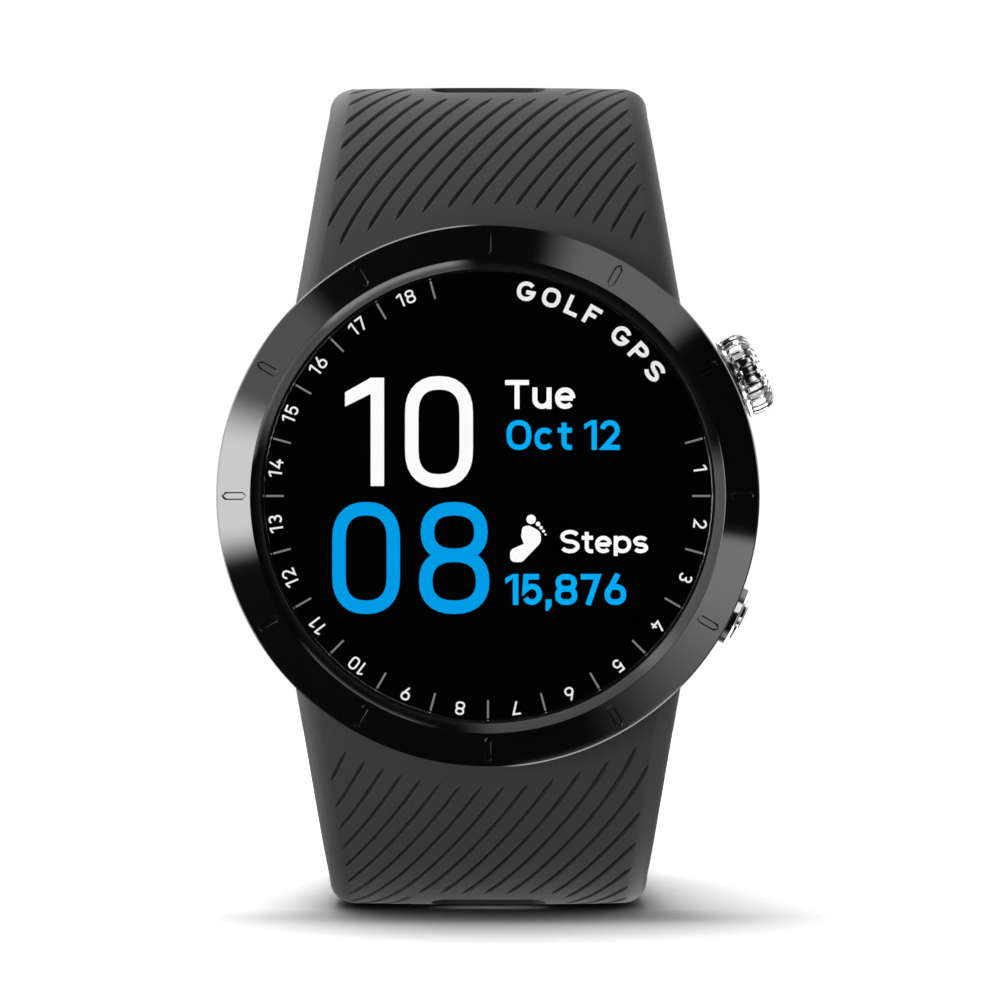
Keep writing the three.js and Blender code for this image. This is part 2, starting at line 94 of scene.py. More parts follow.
def rounded(corners, steps=4):
    # (x, y, radius) corners of a closed outline, with each corner turned into an arc
    points = []
    count = len(corners)
    for i, (x, y, radius) in enumerate(corners):
        here = Vector((x, y))
        before = (Vector(corners[i - 1][:2]) - here)
        after = (Vector(corners[(i + 1) % count][:2]) - here)
        if radius <= 0 or before.length < 1e-6 or after.length < 1e-6:
            points.append((x, y))
            continue
        angle = before.angle(after)
        reach = min(radius / math.tan(angle / 2), before.length * 0.49, after.length * 0.49)
        start = here + before.normalized() * reach
        end = here + after.normalized() * reach
        for k in range(steps + 1):
            t = k / steps
            point = start.lerp(here, t).lerp(here.lerp(end, t), t)
            points.append((point.x, point.y))
    return points


def tidyMesh(merge=0.0004):
    bpy.ops.mesh.select_all(action="SELECT")
    bpy.ops.mesh.remove_doubles(threshold=merge)
    bpy.ops.mesh.dissolve_degenerate(threshold=merge)
    bpy.ops.mesh.delete_loose()
    bpy.ops.mesh.select_all(action="SELECT")
    bpy.ops.mesh.normals_make_consistent(inside=False)
    bpy.ops.object.mode_set(mode="OBJECT")


def turned(name, profile, steps=96):
    # (radius, height) points of a closed section, spun about Y
    obj = loopOf(name, [(r, h, 0) for r, h in profile])
    editAll(obj)
    bpy.ops.mesh.spin(steps=steps, angle=2 * math.pi, center=(0, 0, 0), axis=(0, 1, 0))
    tidyMesh()
    return obj


def slab(name, outline, depth, matrix=None):
    # an outline in X and Y, pulled up along Z
    obj = loopOf(name, [(x, y, 0) for x, y in outline])
    editAll(obj)
    bpy.ops.mesh.edge_face_add()
    bpy.ops.mesh.extrude_region_move(TRANSFORM_OT_translate={"value": (0, 0, depth)})
    tidyMesh()
    if matrix:
        obj.data.transform(matrix)
    return obj


def rod(name, radius, start, end, sides=32, chamfer=0.0):
    # a bar from one point to another, with chamfered ends
    start, end = Vector(start), Vector(end)
    length = (end - start).length
    outline = [(0, 0, 0), (radius, 0, chamfer), (radius, length, chamfer), (0, length, 0)]
    obj = turned(name, rounded(outline, 3), sides)
    turn = Vector((0, 1, 0)).rotation_difference(end - start).to_matrix().to_4x4()
    obj.data.transform(Matrix.Translation(start) @ turn)
    return obj


def brick(name, size, centre):
    deselectAll()
    bpy.ops.mesh.primitive_cube_add(size=1)
    obj = bpy.context.object
    obj.name = obj.data.name = name
    obj.data.transform(Matrix.Translation(Vector(centre)) @ Matrix.Diagonal((*size, 1)))
    return obj


def lofted(name, around, stations, placeOf):
    # a closed section of some points, carried through stations; placeOf(station, point) gives each vertex
    obj = loopOf(name, [(math.cos(2 * math.pi * k / around), 0, k) for k in range(around)])
    editAll(obj)
    bpy.ops.mesh.edge_face_add()
    bpy.ops.mesh.extrude_region_move(TRANSFORM_OT_translate={"value": (0, 1, 0)})
    bpy.ops.mesh.select_mode(type="EDGE")
    bpy.ops.mesh.select_all(action="DESELECT")
    bpy.ops.object.mode_set(mode="OBJECT")
    for edge in obj.data.edges:
        a, b = (obj.data.vertices[i].co.y for i in edge.vertices)
        edge.select = abs(a - b) > 0.5
    bpy.ops.object.mode_set(mode="EDIT")
    bpy.ops.mesh.subdivide_edgering(number_cuts=stations - 2, interpolation="LINEAR")
    bpy.ops.object.mode_set(mode="OBJECT")
    for vertex in obj.data.vertices:
        vertex.co = placeOf(round(vertex.co.y * (stations - 1)), round(vertex.co.z))
    editAll(obj)
    tidyMesh()
    return obj


def moved(obj, matrix):
    obj.data.transform(matrix)
    if matrix.determinant() < 0:
        editAll(obj)
        bpy.ops.mesh.flip_normals()
        bpy.ops.object.mode_set(mode="OBJECT")
    return obj


def copyOf(obj, matrix, name=None):
    twin = obj.copy()
    twin.data = obj.data.copy()
    twin.name = twin.data.name = name or obj.name
    bpy.context.collection.objects.link(twin)
    return moved(twin, matrix)


def joined(name, objs):
    selectOnly(*objs)
    if len(objs) > 1:
        bpy.ops.object.join()
    obj = bpy.context.object
    obj.name = obj.data.name = name
    return obj


def boolean(obj, tool, operation="DIFFERENCE"):
    selectOnly(obj)
    step = obj.modifiers.new("cut", "BOOLEAN")
    step.operation = operation
    step.solver = "EXACT"
    step.object = tool
    bpy.ops.object.modifier_apply(modifier=step.name)
    bpy.data.objects.remove(tool)
    return obj


def softened(obj, width, segments=2, angle=35):
    selectOnly(obj)
    step = obj.modifiers.new("edge", "BEVEL")
    step.width = width
    step.segments = segments
    step.limit_method = "ANGLE"
    step.angle_limit = math.radians(angle)
    bpy.ops.object.modifier_apply(modifier=step.name)
    return obj


def finishPiece(obj, body, nodes, material, smoothAngle=32, weighted=False):
    # to metres, smooth, painted, and fixed to the body that carries it
    obj.data.transform(Matrix.Scale(0.001, 4))
    selectOnly(obj)
    bpy.ops.object.shade_smooth_by_angle(angle=math.radians(smoothAngle))
    if weighted:
        step = obj.modifiers.new("flatter", "WEIGHTED_NORMAL")
        step.keep_sharp = True
        bpy.ops.object.modifier_apply(modifier=step.name)
    obj.data.materials.clear()
    obj.data.materials.append(material)
    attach(obj, body)
    if nodes:
        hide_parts(*nodes)
    return obj


# ---- finishes

def newGroup(name, inputs, outputs):
    group = bpy.data.node_groups.new(name, "ShaderNodeTree")
    for label, kind, value in inputs:
        socket = group.interface.new_socket(label, in_out="INPUT", socket_type=kind)
        if value is not None:
            socket.default_value = value
    for label, kind in outputs:
        group.interface.new_socket(label, in_out="OUTPUT", socket_type=kind)
    return group, group.nodes.new("NodeGroupInput"), group.nodes.new("NodeGroupOutput")


def mathNode(tree, operation, *values):
    node = tree.nodes.new("ShaderNodeMath")
    node.operation = operation
    for socket, value in zip(node.inputs, values):
        if isinstance(value, (int, float)):
            socket.default_value = value
        else:
            tree.links.new(value, socket)
    return node.outputs[0]


def ramp(tree, value, low, high, start=0.0, end=1.0):
    # eases from start to end while the value goes from low to high
    node = tree.nodes.new("ShaderNodeMapRange")
    node.interpolation_type = "SMOOTHSTEP"
    for label, number in (("From Min", low), ("From Max", high), ("To Min", start), ("To Max", end)):
        node.inputs[label].default_value = number
    tree.links.new(value, node.inputs["Value"])
    return node.outputs["Result"]


def newMaterial(name):
    material = bpy.data.materials.new(name)
    material.use_nodes = True
    tree = material.node_tree
    return material, tree, tree.nodes["Principled BSDF"]


def placedGroup(tree, group, **values):
    # a node group that reads the piece's own coordinates
    node = tree.nodes.new("ShaderNodeGroup")
    node.node_tree = group
    for label, value in values.items():
        node.inputs[label.replace("_", " ")].default_value = value
    tree.links.new(tree.nodes.new("ShaderNodeTexCoord").outputs["Object"], node.inputs["Vector"])
    return node.outputs


def mixedColour(tree, dark, light, factor):
    mix = tree.nodes.new("ShaderNodeMix")
    mix.data_type = "RGBA"
    mix.inputs["A"].default_value = (*dark, 1)
    mix.inputs["B"].default_value = (*light, 1)
    tree.links.new(factor, mix.inputs["Factor"])
    return mix.outputs["Result"]


def switched(tree, ray, usual, other, output, socket):
    # one kind of ray meets the other shader
    mix = tree.nodes.new("ShaderNodeMixShader")
    tree.links.new(tree.nodes.new("ShaderNodeLightPath").outputs[ray], mix.inputs["Fac"])
    tree.links.new(usual.outputs[0], mix.inputs[1])
    tree.links.new(other.outputs[0], mix.inputs[2])
    tree.links.new(mix.outputs[0], tree.nodes[output].inputs[socket])


def grainGroup():
    # fine moulded or blasted grain, with a slow mottle over it
    group, start, end = newGroup("surfaceGrain",
        [("Vector", "NodeSocketVector", None), ("Grain Size", "NodeSocketFloat", 4000.0),
         ("Mottle Size", "NodeSocketFloat", 120.0)],
        [("Grain", "NodeSocketFloat"), ("Mottle", "NodeSocketFloat")])
    for scaleName, outName, detail in (("Grain Size", "Grain", 3), ("Mottle Size", "Mottle", 4)):
        noise = group.nodes.new("ShaderNodeTexNoise")
        noise.inputs["Detail"].default_value = detail
        noise.inputs["Roughness"].default_value = 0.6
        group.links.new(start.outputs["Vector"], noise.inputs["Vector"])
        group.links.new(start.outputs[scaleName], noise.inputs["Scale"])
        group.links.new(noise.outputs["Fac"], end.inputs[outName])
    return group


def scuffGroup():
    # sparse hairline scuffs in two directions
    group, start, end = newGroup("hairScuffs",
        [("Vector", "NodeSocketVector", None), ("Scale", "NodeSocketFloat", 60.0)],
        [("Scuffs", "NodeSocketFloat")])
    lines = []
    for turn in (0.5, -0.9):
        mapping = group.nodes.new("ShaderNodeMapping")
        mapping.inputs["Rotation"].default_value = (0.2, turn, 0.3)
        mapping.inputs["Scale"].default_value = (1, 22, 22)
        noise = group.nodes.new("ShaderNodeTexNoise")
        noise.inputs["Detail"].default_value = 5
        group.links.new(start.outputs["Vector"], mapping.inputs["Vector"])
        group.links.new(mapping.outputs["Vector"], noise.inputs["Vector"])
        group.links.new(start.outputs["Scale"], noise.inputs["Scale"])
        lines.append(ramp(group, noise.outputs["Fac"], 0.62, 0.74))
    group.links.new(mathNode(group, "MAXIMUM", *lines), end.inputs["Scuffs"])
    return group


surfaceGrain = grainGroup()
hairScuffs = scuffGroup()


def makeFinish(name, dark, light, rough, metallic=0.0, grain=4000.0, bump=0.02, mottle=120.0,
               scuff=60.0, scuffRough=0.1, ior=1.5, coat=0.0, sheen=0.0, transmission=0.0):
    material, tree, shader = newMaterial(name)
    surface = placedGroup(tree, surfaceGrain, Grain_Size=grain, Mottle_Size=mottle)
    scuffs = placedGroup(tree, hairScuffs, Scale=scuff)
    tree.links.new(mixedColour(tree, dark, light, surface["Mottle"]), shader.inputs["Base Color"])
    spread = tree.nodes.new("ShaderNodeMapRange")
    spread.inputs["From Min"].default_value = 0.3
    spread.inputs["From Max"].default_value = 0.7
    spread.inputs["To Min"].default_value = rough[0]
    spread.inputs["To Max"].default_value = rough[1]
    tree.links.new(surface["Grain"], spread.inputs["Value"])
    worn = mathNode(tree, "MULTIPLY", scuffs["Scuffs"], scuffRough)
    tree.links.new(mathNode(tree, "ADD", spread.outputs["Result"], worn), shader.inputs["Roughness"])
    if bump:
        bumps = tree.nodes.new("ShaderNodeBump")
        bumps.inputs["Strength"].default_value = 1.0
        bumps.inputs["Distance"].default_value = bump * 0.001
        tree.links.new(surface["Grain"], bumps.inputs["Height"])
        tree.links.new(bumps.outputs["Normal"], shader.inputs["Normal"])
    shader.inputs["Metallic"].default_value = metallic
    shader.inputs["IOR"].default_value = ior
    shader.inputs["Coat Weight"].default_value = coat
    shader.inputs["Coat Roughness"].default_value = 0.03
    shader.inputs["Sheen Weight"].default_value = sheen
    shader.inputs["Sheen Roughness"].default_value = 0.5
    shader.inputs["Transmission Weight"].default_value = transmission
    return material


def makeLit(name, colour, strength):
    # a patch that glows behind the glass, a little unevenly
    material, tree, shader = newMaterial(name)
    surface = placedGroup(tree, surfaceGrain, Grain_Size=900)
    glow = mixedColour(tree, [c * 0.96 for c in colour], colour, surface["Grain"])
    tree.links.new(glow, shader.inputs["Emission Color"])
    shader.inputs["Emission Strength"].default_value = strength
    shader.inputs["Base Color"].default_value = (0, 0, 0, 1)
    shader.inputs["IOR"].default_value = 1.0
    return material


blackCeramic = makeFinish("blackCeramic", (0.0012, 0.0012, 0.0014), (0.002, 0.002, 0.0022),
    (0.055, 0.062), grain=1500, bump=0.0, scuff=90, scuffRough=0.03, ior=1.75, coat=0.6)
satinCase = makeFinish("satinCase", (0.012, 0.012, 0.013), (0.02, 0.02, 0.021),
    (0.34, 0.46), grain=6000, bump=0.004, scuffRough=0.12)
polishedSteel = makeFinish("polishedSteel", (0.66, 0.66, 0.67), (0.76, 0.76, 0.77),
    (0.06, 0.12), metallic=1.0, grain=2500, bump=0.0, scuff=120, scuffRough=0.08)
turnedSteel = makeFinish("turnedSteel", (0.5, 0.5, 0.51), (0.62, 0.62, 0.63),
    (0.22, 0.32), metallic=1.0, grain=5000, bump=0.003)
buckleBlack = makeFinish("buckleBlack", (0.02, 0.02, 0.021), (0.03, 0.03, 0.031),
    (0.26, 0.36), metallic=0.7, grain=6000, bump=0.003, scuffRough=0.15)
strapRubber = makeFinish("strapRubber", (0.019, 0.019, 0.0193), (0.025, 0.025, 0.0253),
    (0.54, 0.66), grain=5200, bump=0.014, mottle=90, scuffRough=0.05, sheen=0.06)
sealRubber = makeFinish("sealRubber", (0.02, 0.02, 0.02), (0.03, 0.03, 0.03), (0.5, 0.6))
backPlastic = makeFinish("backPlastic", (0.013, 0.013, 0.014), (0.02, 0.02, 0.021),
    (0.3, 0.42), grain=7000, bump=0.004, scuffRough=0.12)
coverGlass = makeFinish("coverGlass", (0.97, 0.98, 0.985), (1, 1, 1), (0.0, 0.015),
    grain=300, bump=0.0, scuff=70, scuffRough=0.03, ior=1.5, transmission=1.0)
dialBlack = makeFinish("dialBlack", (0.0006, 0.0006, 0.0008), (0.0012, 0.0012, 0.0014),
    (0.5, 0.6), grain=3000, bump=0.0, ior=1.04)
innerPlastic = makeFinish("innerPlastic", (0.05, 0.05, 0.053), (0.08, 0.08, 0.085), (0.4, 0.5))
boardGreen = makeFinish("boardGreen", (0.008, 0.07, 0.03), (0.015, 0.11, 0.05), (0.25, 0.4))
cellFoil = makeFinish("cellFoil", (0.5, 0.51, 0.53), (0.62, 0.63, 0.65), (0.3, 0.45), metallic=1.0)
contactGold = makeFinish("contactGold", (0.75, 0.52, 0.2), (0.85, 0.62, 0.28), (0.12, 0.2),
    metallic=1.0)
litWhite = makeLit("litWhite", (1.0, 1.0, 1.0), 1.08)
litBlue = makeLit("litBlue", (0.0, 0.37, 0.88), 1.0)
brightBlue = makeLit("brightBlue", (0.0, 0.45, 1.0), 1.0)
# The ring's printed ticks, numbers and words glow by themselves: painted light standing in for the light that
# would fall on the print
printWhitePaintedGlow = makeLit("printWhitePaintedGlow", (0.9, 0.9, 0.9), 1.0)
printGreyPaintedGlow = makeLit("printGreyPaintedGlow", (0.22, 0.22, 0.22), 1.0)
print("finishes made")

# ---- camera, floor and light

camera = {"distance": 345.0, "aimX": 1.04, "aimZ": -0.35, "frontPlane": -12.5, "field": 86.4}


def makeCamera():
    data = bpy.data.cameras.new("camera")
    obj = bpy.data.objects.new("camera", data)
    bpy.context.collection.objects.link(obj)
    data.sensor_width = 36
    data.lens = 36 * camera["distance"] / camera["field"]
    data.clip_start = 0.01
    place = (camera["aimX"], camera["frontPlane"] - camera["distance"], camera["aimZ"])
    obj.location = Vector(place) * 0.001
    obj.rotation_euler = (math.radians(90), 0, 0)
    bpy.context.scene.camera = obj


floorDisc = {"radius": 250, "middle": 30, "colour": 0.96, "shadeReach": 40, "shadePower": 1.55}


def makeFloor():
    deselectAll()
    bpy.ops.mesh.primitive_circle_add(vertices=96, radius=floorDisc["radius"] * 0.001, fill_type="NGON",
                                      location=(0, floorDisc["middle"] * 0.001, cadBox[0][2]))
    floor = bpy.context.object
    floor.name = "floor"
    bpy.ops.object.transform_apply(location=True)
    material, tree, shader = newMaterial("paleFloor")
    shader.inputs["Roughness"].default_value = 0.9
    shader.inputs["Specular IOR Level"].default_value = 0.1
    # painted shadow: the floor's own colour darkens where the strap stands, by ambient occlusion
    near = tree.nodes.new("ShaderNodeAmbientOcclusion")
    near.samples = 12
    near.inputs["Distance"].default_value = floorDisc["shadeReach"] * 0.001
    openness = mathNode(tree, "POWER", near.outputs["AO"], floorDisc["shadePower"])
    tree.links.new(mathNode(tree, "MULTIPLY", openness, floorDisc["colour"]), shader.inputs["Base Color"])
    # reflections look through the floor, to the room that is below it
    clear = tree.nodes.new("ShaderNodeBsdfTransparent")
    switched(tree, "Is Glossy Ray", shader, clear, "Material Output", "Surface")
    floor.data.materials.append(material)


lamps = {  # direction from the watch in degrees: right of the front, up; sizes, distance, radiance
    "overhead": {"side": 0, "up": 90, "wide": 1080, "tall": 1080, "away": 2000, "glow": 8.4,
                 "floor": True},
    "behind": {"side": 200, "up": 28, "wide": 400, "tall": 400, "away": 600, "glow": 3.2, "floor": False},
    "fill": {"side": -70, "up": 10, "wide": 60, "tall": 220, "away": 120, "glow": 7.5, "floor": False},
}


def makeLamp(name, lamp):
    side, up = math.radians(lamp["side"]), math.radians(lamp["up"])
    aim = Vector((math.sin(side) * math.cos(up), -math.cos(side) * math.cos(up), math.sin(up)))
    data = bpy.data.lights.new(name, "AREA")
    data.shape = "RECTANGLE"
    data.size, data.size_y = lamp["wide"] * 0.001, lamp["tall"] * 0.001
    data.energy = lamp["glow"] * math.pi * data.size * data.size_y
    obj = bpy.data.objects.new(name, data)
    bpy.context.collection.objects.link(obj)
    obj.location = aim * lamp["away"] * 0.001
    obj.rotation_euler = (-aim).to_track_quat("-Z", "Y").to_euler()
    obj.visible_glossy = False
    obj.visible_camera = False
    if not lamp["floor"]:
        lit = bpy.data.collections.new(name + "Lit")
        lit.objects.link(bpy.data.objects["floor"])
        lit.collection_objects[0].light_linking.link_state = "EXCLUDE"
        obj.light_linking.receiver_collection = lit


# Cards round the watch that its gloss sees. Each spans an arc, in degrees clockwise from twelve
# o'clock, that eases in and out, and a band from the axis of the face to its rim (1 is the axis).
cards = {
    "left": {"arc": (-97, -79), "ease": (9, 13), "band": (0.72, 0.92), "glow": 5.3},
    "leftWide": {"arc": (-95, -47), "ease": (9, 9), "band": (-0.1, 0.92), "glow": 0.75},
    "leftRim": {"arc": (-115, -62), "ease": (12, 10), "band": (-0.25, 0.2), "glow": 2.5},
    "upperRight": {"arc": (22, 46), "ease": (12, 7), "band": (0.6, 0.93), "glow": 1.12},
    "lowerRight": {"arc": (101, 104), "ease": (3, 56), "band": (0.6, 0.93), "glow": 1.7},
    "topLeft": {"arc": (-42, -8), "ease": (7, 7), "band": (-0.85, 0.12), "glow": 2.6},
    "topChamfer": {"arc": (-46, -4), "ease": (12, 12), "band": (0.25, 0.55), "glow": 0.6},
    "lowRight": {"arc": (138, 172), "ease": (6, 6), "band": (-0.85, 0.12), "glow": 2.6},
    "lowChamfer": {"arc": (112, 170), "ease": (12, 8), "band": (0.25, 0.5), "glow": 0.6},
    "side": {"arc": (48, 82), "ease": (8, 8), "band": (-0.85, 0.12), "glow": 1.8},
    "crownLow": {"arc": (140, 170), "ease": (6, 6), "band": (0.5, 0.7), "glow": 1.6},
}
room = {"front": 0.005, "back": 0.3}


def makeWorld():
    # white behind the watch; its gloss and its shades see a dim room with the cards in it
    world = bpy.data.worlds.new("studio")
    bpy.context.scene.world = world
    world.use_nodes = True
    tree = world.node_tree
    seen = tree.nodes["Background"]
    split = tree.nodes.new("ShaderNodeSeparateXYZ")
    tree.links.new(tree.nodes.new("ShaderNodeTexCoord").outputs["Generated"], split.inputs[0])
    x, y, z = split.outputs
    turn = mathNode(tree, "DEGREES", mathNode(tree, "ARCTAN2", x, z))
    axis = mathNode(tree, "MULTIPLY", y, -1.0)
    total = ramp(tree, y, -0.5, 0.15, room["front"], room["back"])
    for card in cards.values():
        (start, end), (easeIn, easeOut), (low, high) = card["arc"], card["ease"], card["band"]
        part = mathNode(tree, "MULTIPLY", ramp(tree, turn, start - easeIn, start),
                        ramp(tree, turn, end, end + easeOut, 1, 0))
        part = mathNode(tree, "MULTIPLY", part, ramp(tree, axis, low - 0.15, low))
        part = mathNode(tree, "MULTIPLY", part, ramp(tree, axis, high, high + 0.05, card["glow"], 0))
        total = mathNode(tree, "ADD", total, part)
    tree.links.new(total, seen.inputs["Strength"])
    seen.inputs["Color"].default_value = (1, 1, 1, 1)
    backdrop = tree.nodes.new("ShaderNodeBackground")
    backdrop.inputs["Color"].default_value = (1, 1, 1, 1)
    backdrop.inputs["Strength"].default_value = 1.0
    switched(tree, "Is Camera Ray", seen, backdrop, "World Output", "Surface")


makeCamera()
makeFloor()
for label, lamp in lamps.items():
    makeLamp(label, lamp)
makeWorld()
bpy.context.scene.view_settings.view_transform = "Standard"
bpy.context.scene.view_settings.look = "None"
print("stage set")

# ---- bezel

bezel = {"outer": 23.5, "crest": 20.5, "front": -13.2, "under": -10.3, "marks": 12,
         "coneEnd": (23.38, -12.31), "markLong": 2.4, "markWide": 0.8, "markTip": 0.36, "markDeep": 0.17,
         "markRadius": 21.95}


def makeBezel():
    section = [(bezel["crest"], bezel["front"], 0.08), (*bezel["coneEnd"], 0.02),
               (bezel["outer"], -12.19, 0.02),
               (bezel["outer"], -10.7, 0.2), (23.1, bezel["under"], 0.1), (21.05, bezel["under"], 0),
               (21.05, -12.3, 0), (19.65, -12.3, 0), (19.65, -12.62, 0.05)]
    obj = turned("bezelRing", rounded(section, 3), 180)
    slope = math.atan2(bezel["coneEnd"][1] - bezel["front"], bezel["coneEnd"][0] - bezel["crest"])
    half, wide, tip, deep = bezel["markLong"] / 2, bezel["markWide"] / 2, bezel["markTip"], bezel["markDeep"]
    outline = [(-half, 0, 0.06), (tip - half, -wide, 0.1), (half - tip, -wide, 0.1), (half, 0, 0.06),
               (half - tip, wide, 0.1), (tip - half, wide, 0.1)]
    tool = slab("markTool", rounded(outline, 3), 1)
    # the tool narrows towards its foot, so that each mark has sloping walls
    for vertex in tool.data.vertices:
        if vertex.co.z < 0.5:
            vertex.co.x *= (half - deep) / half
            vertex.co.y *= (wide - deep) / wide
            vertex.co.z = -deep
        else:
            vertex.co.x *= (half + 0.3) / half
            vertex.co.y *= (wide + 0.3) / wide
            vertex.co.z = 0.5
    height = bezel["front"] + math.tan(slope) * (bezel["markRadius"] - bezel["crest"])
    lean = Matrix.Rotation(math.radians(90), 4, "X")
    lean = Matrix.Translation((bezel["markRadius"], height, 0)) @ Matrix.Rotation(slope, 4, "Z") @ lean
    moved(tool, lean)
    tools = [tool]
    for i in range(1, bezel["marks"]):
        tools.append(copyOf(tool, Matrix.Rotation(i * 2 * math.pi / bezel["marks"], 4, "Y")))
    boolean(obj, joined("markTools", tools))
    finishPiece(obj, "case", ["bezel"], blackCeramic, 20)


makeBezel()
print("bezel made")

# ---- cover glass and the dial under it

dial = {"face": -11.78, "radius": 19.42, "tickIn": 17.65, "tickOut": 19.2, "tickWide": 0.17,
        "numeralRadius": 18.5, "numeralTall": 1.17, "firstTick": 75, "step": 15, "ticks": 19,
        "words": "GOLF GPS", "wordsClock": 8.0, "wordsRadius": 18.0, "wordsTall": 1.7, "wordsThick": 0.36,
        "wordsWide": 1.95, "wordsGap": 0.62, "printHigh": 0.03}


def makeGlass():
    section = [(0, -11.92, 0), (19.42, -11.92, 0), (19.42, -12.52, 0), (19.34, -12.6, 0.03), (0, -12.6, 0)]
    finishPiece(turned("coverGlass", rounded(section, 3), 128), "case", ["display_glass"],
                coverGlass)
    section = [(0, -11.45, 0), (dial["radius"], -11.45, 0), (dial["radius"], dial["face"], 0),
               (0, dial["face"], 0)]
    finishPiece(turned("dialMask", rounded(section), 128), "case", ["display_panel"],
                dialBlack)


# A plain alphabet: each letter is a list of outlines in a box w wide and h high, in strokes t thick
def bow(cx, cy, rx, ry, start, end, steps=12, square=1.0):
    # an arc of an ellipse; square below 1 fills its corners out
    points = []
    for k in range(steps + 1):
        a = math.radians(start + (end - start) * k / steps)
        c, s = math.cos(a), math.sin(a)
        points.append((cx + math.copysign(rx * abs(c) ** square, c),
                       cy + math.copysign(ry * abs(s) ** square, s)))
    return points


def ringLine(w, low, high, reach=0.56, inset=0.0):
    # a closed upright ring with straight sides
    reach = min(w * reach, (high - low) / 2)
    r = w / 2
    line = bow(r, high - reach, r - inset, reach, 0, 180, 14, 0.84)
    line += bow(r, low + reach, r - inset, reach, 180, 360, 14, 0.84)
    return line + [line[0]]


def ribbon(line, t):
    # the outline of a stroke of even width, with square ends; a closed line comes back as two halves
    points = [Vector(point) for point in line]
    points = [point for i, point in enumerate(points) if i == 0 or (point - points[i - 1]).length > 1e-5]
    closed = len(points) > 2 and (points[0] - points[-1]).length < 1e-5
    if closed:
        points.pop()
    count = len(points)
    sides = []
    for i, here in enumerate(points):
        before = here - points[i - 1] if closed or i else points[1] - here
        after = points[(i + 1) % count] - here if closed or i < count - 1 else before
        before, after = before.normalized(), after.normalized()
        across = Vector((-before.y - after.y, before.x + after.x)).normalized()
        reach = t / 2 / max(0.4, across.dot(Vector((-before.y, before.x))))
        sides.append((here + across * reach, here - across * reach))
    runs = [sides]
    if closed:
        sides.append(sides[0])
        runs = [sides[:count // 2 + 1], sides[count // 2:]]
    return [[tuple(a) for a, _ in run] + [tuple(b) for _, b in reversed(run)] for run in runs]


def letter(mark, w, h, t):
    e, W, H = t / 2, w - t, h - t
    X, r = h * 0.745 - t, W / 2   # the small letters' height, and half a letter's width
    if mark == "1":
        return [[(w, h), (w - t, h), (0, h * 0.865), (0, h * 0.865 - t * 1.07), (w - t, h * 0.852),
                 (w - t, 0), (w, 0)]]
    if mark == ",":
        return [[(0, t), (w, t), (w, -t * 0.1), (w * 0.45, -t * 1.05), (0, -t * 1.05)]]
    shapes = {
        "0": lambda: [ringLine(W, 0, H)],
        "O": lambda: [ringLine(W, 0, H, 0.6)],
        "2": lambda: [bow(r, H * 0.7, r, H * 0.3, 172, -38) + [(t * 0.4, 0), (W + e, 0)]],
        "3": lambda: [bow(r, H * 0.76, r * 0.92, H * 0.24, 155, -84)
                      + bow(r, H * 0.26, r, H * 0.26, 84, -155)],
        "4": lambda: [[(W * 0.6, H + e), (0, H * 0.24), (W + e, H * 0.24)],
                      [(W * 0.74, H * 0.5), (W * 0.74, -e)]],
        "5": lambda: [[(W * 0.97, H), (W * 0.1, H), (W * 0.03, H * 0.47)]
                      + bow(r, H * 0.31, r, H * 0.31, 125, -152, 14)],
        "6": lambda: [ringLine(W, 0, H * 0.6, 0.5), [(W * 0.02, H * 0.36), (W * 0.66, H + e)]],
        "7": lambda: [[(-e, H), (W - e * 0.2, H), (W * 0.3, -e)]],
        "8": lambda: [ringLine(W, H * 0.527, H, 0.5, W * 0.03), ringLine(W, 0, H * 0.527, 0.5)],
        "9": lambda: [[(W - a, H - b) for a, b in ringLine(W, 0, H * 0.6, 0.5)],
                      [(W * 0.98, H * 0.64), (W * 0.34, -e)]],
        "T": lambda: [[(-e, H), (W + e, H)], [(r, H), (r, -e)]],
        "u": lambda: [[(0, X + e)] + bow(r, r, r, r, 180, 360) + [(W, X + e)], [(W, X), (W, -e)]],
        "e": lambda: [[(0, X * 0.5), (W, X * 0.5)], bow(r, X / 2, r, X / 2, 0, 318, 20, 0.92)],
        "c": lambda: [bow(r, X / 2, r, X / 2, 40, 320, 18, 0.92)],
        "t": lambda: [[(W * 0.42, H), (W * 0.42, W * 0.5)]
                      + bow(W * 0.92, W * 0.5, W * 0.5, W * 0.5, 180, 270, 6) + [(W + e, 0)],
                      [(-e, X), (W + e, X)]],
        "S": lambda: [bow(r, H * 0.75, r, H * 0.25, 22, 270) + bow(r, H * 0.25, r, H * 0.25, 90, -158)],
        "s": lambda: [bow(r, X * 0.75, r, X * 0.25, 22, 270) + bow(r, X * 0.25, r, X * 0.25, 90, -158)],
        "p": lambda: [[(0, X + e), (0, -h * 0.2)], bow(r, X / 2, r, X / 2, 0, 360, 20, 0.92)],
        "G": lambda: [bow(r, H / 2, r, H / 2, 42, 352, 20, 0.92) + [(W, H * 0.45), (W * 0.5, H * 0.45)]],
        "L": lambda: [[(0, H + e), (0, 0), (W + e, 0)]],
        "F": lambda: [[(W + e, H), (0, H), (0, -e)], [(0, H * 0.52), (W * 0.9, H * 0.52)]],
        "P": lambda: [[(0, -e), (0, H), (W * 0.5, H)] + bow(W * 0.5, H * 0.74, W * 0.5, H * 0.26, 90, -90)
                      + [(0, H * 0.48)]],
    }
    outlines = [outline for line in shapes[mark]() for outline in ribbon(line, t)]
    return [[(a + e, b + e) for a, b in outline] for outline in outlines]


letterWidths = {"0": 0.66, "1": 0.41, "2": 0.66, "3": 0.64, "4": 0.7, "5": 0.64, "6": 0.68, "7": 0.64,
                "8": 0.7, "9": 0.68, ",": 0.19, "T": 0.81, "u": 0.65, "e": 0.69, "O": 0.82, "c": 0.66,
                "t": 0.47, "S": 0.8, "p": 0.72, "s": 0.62, "G": 0.84, "L": 0.62, "F": 0.64, "P": 0.7,
                " ": 0.2}


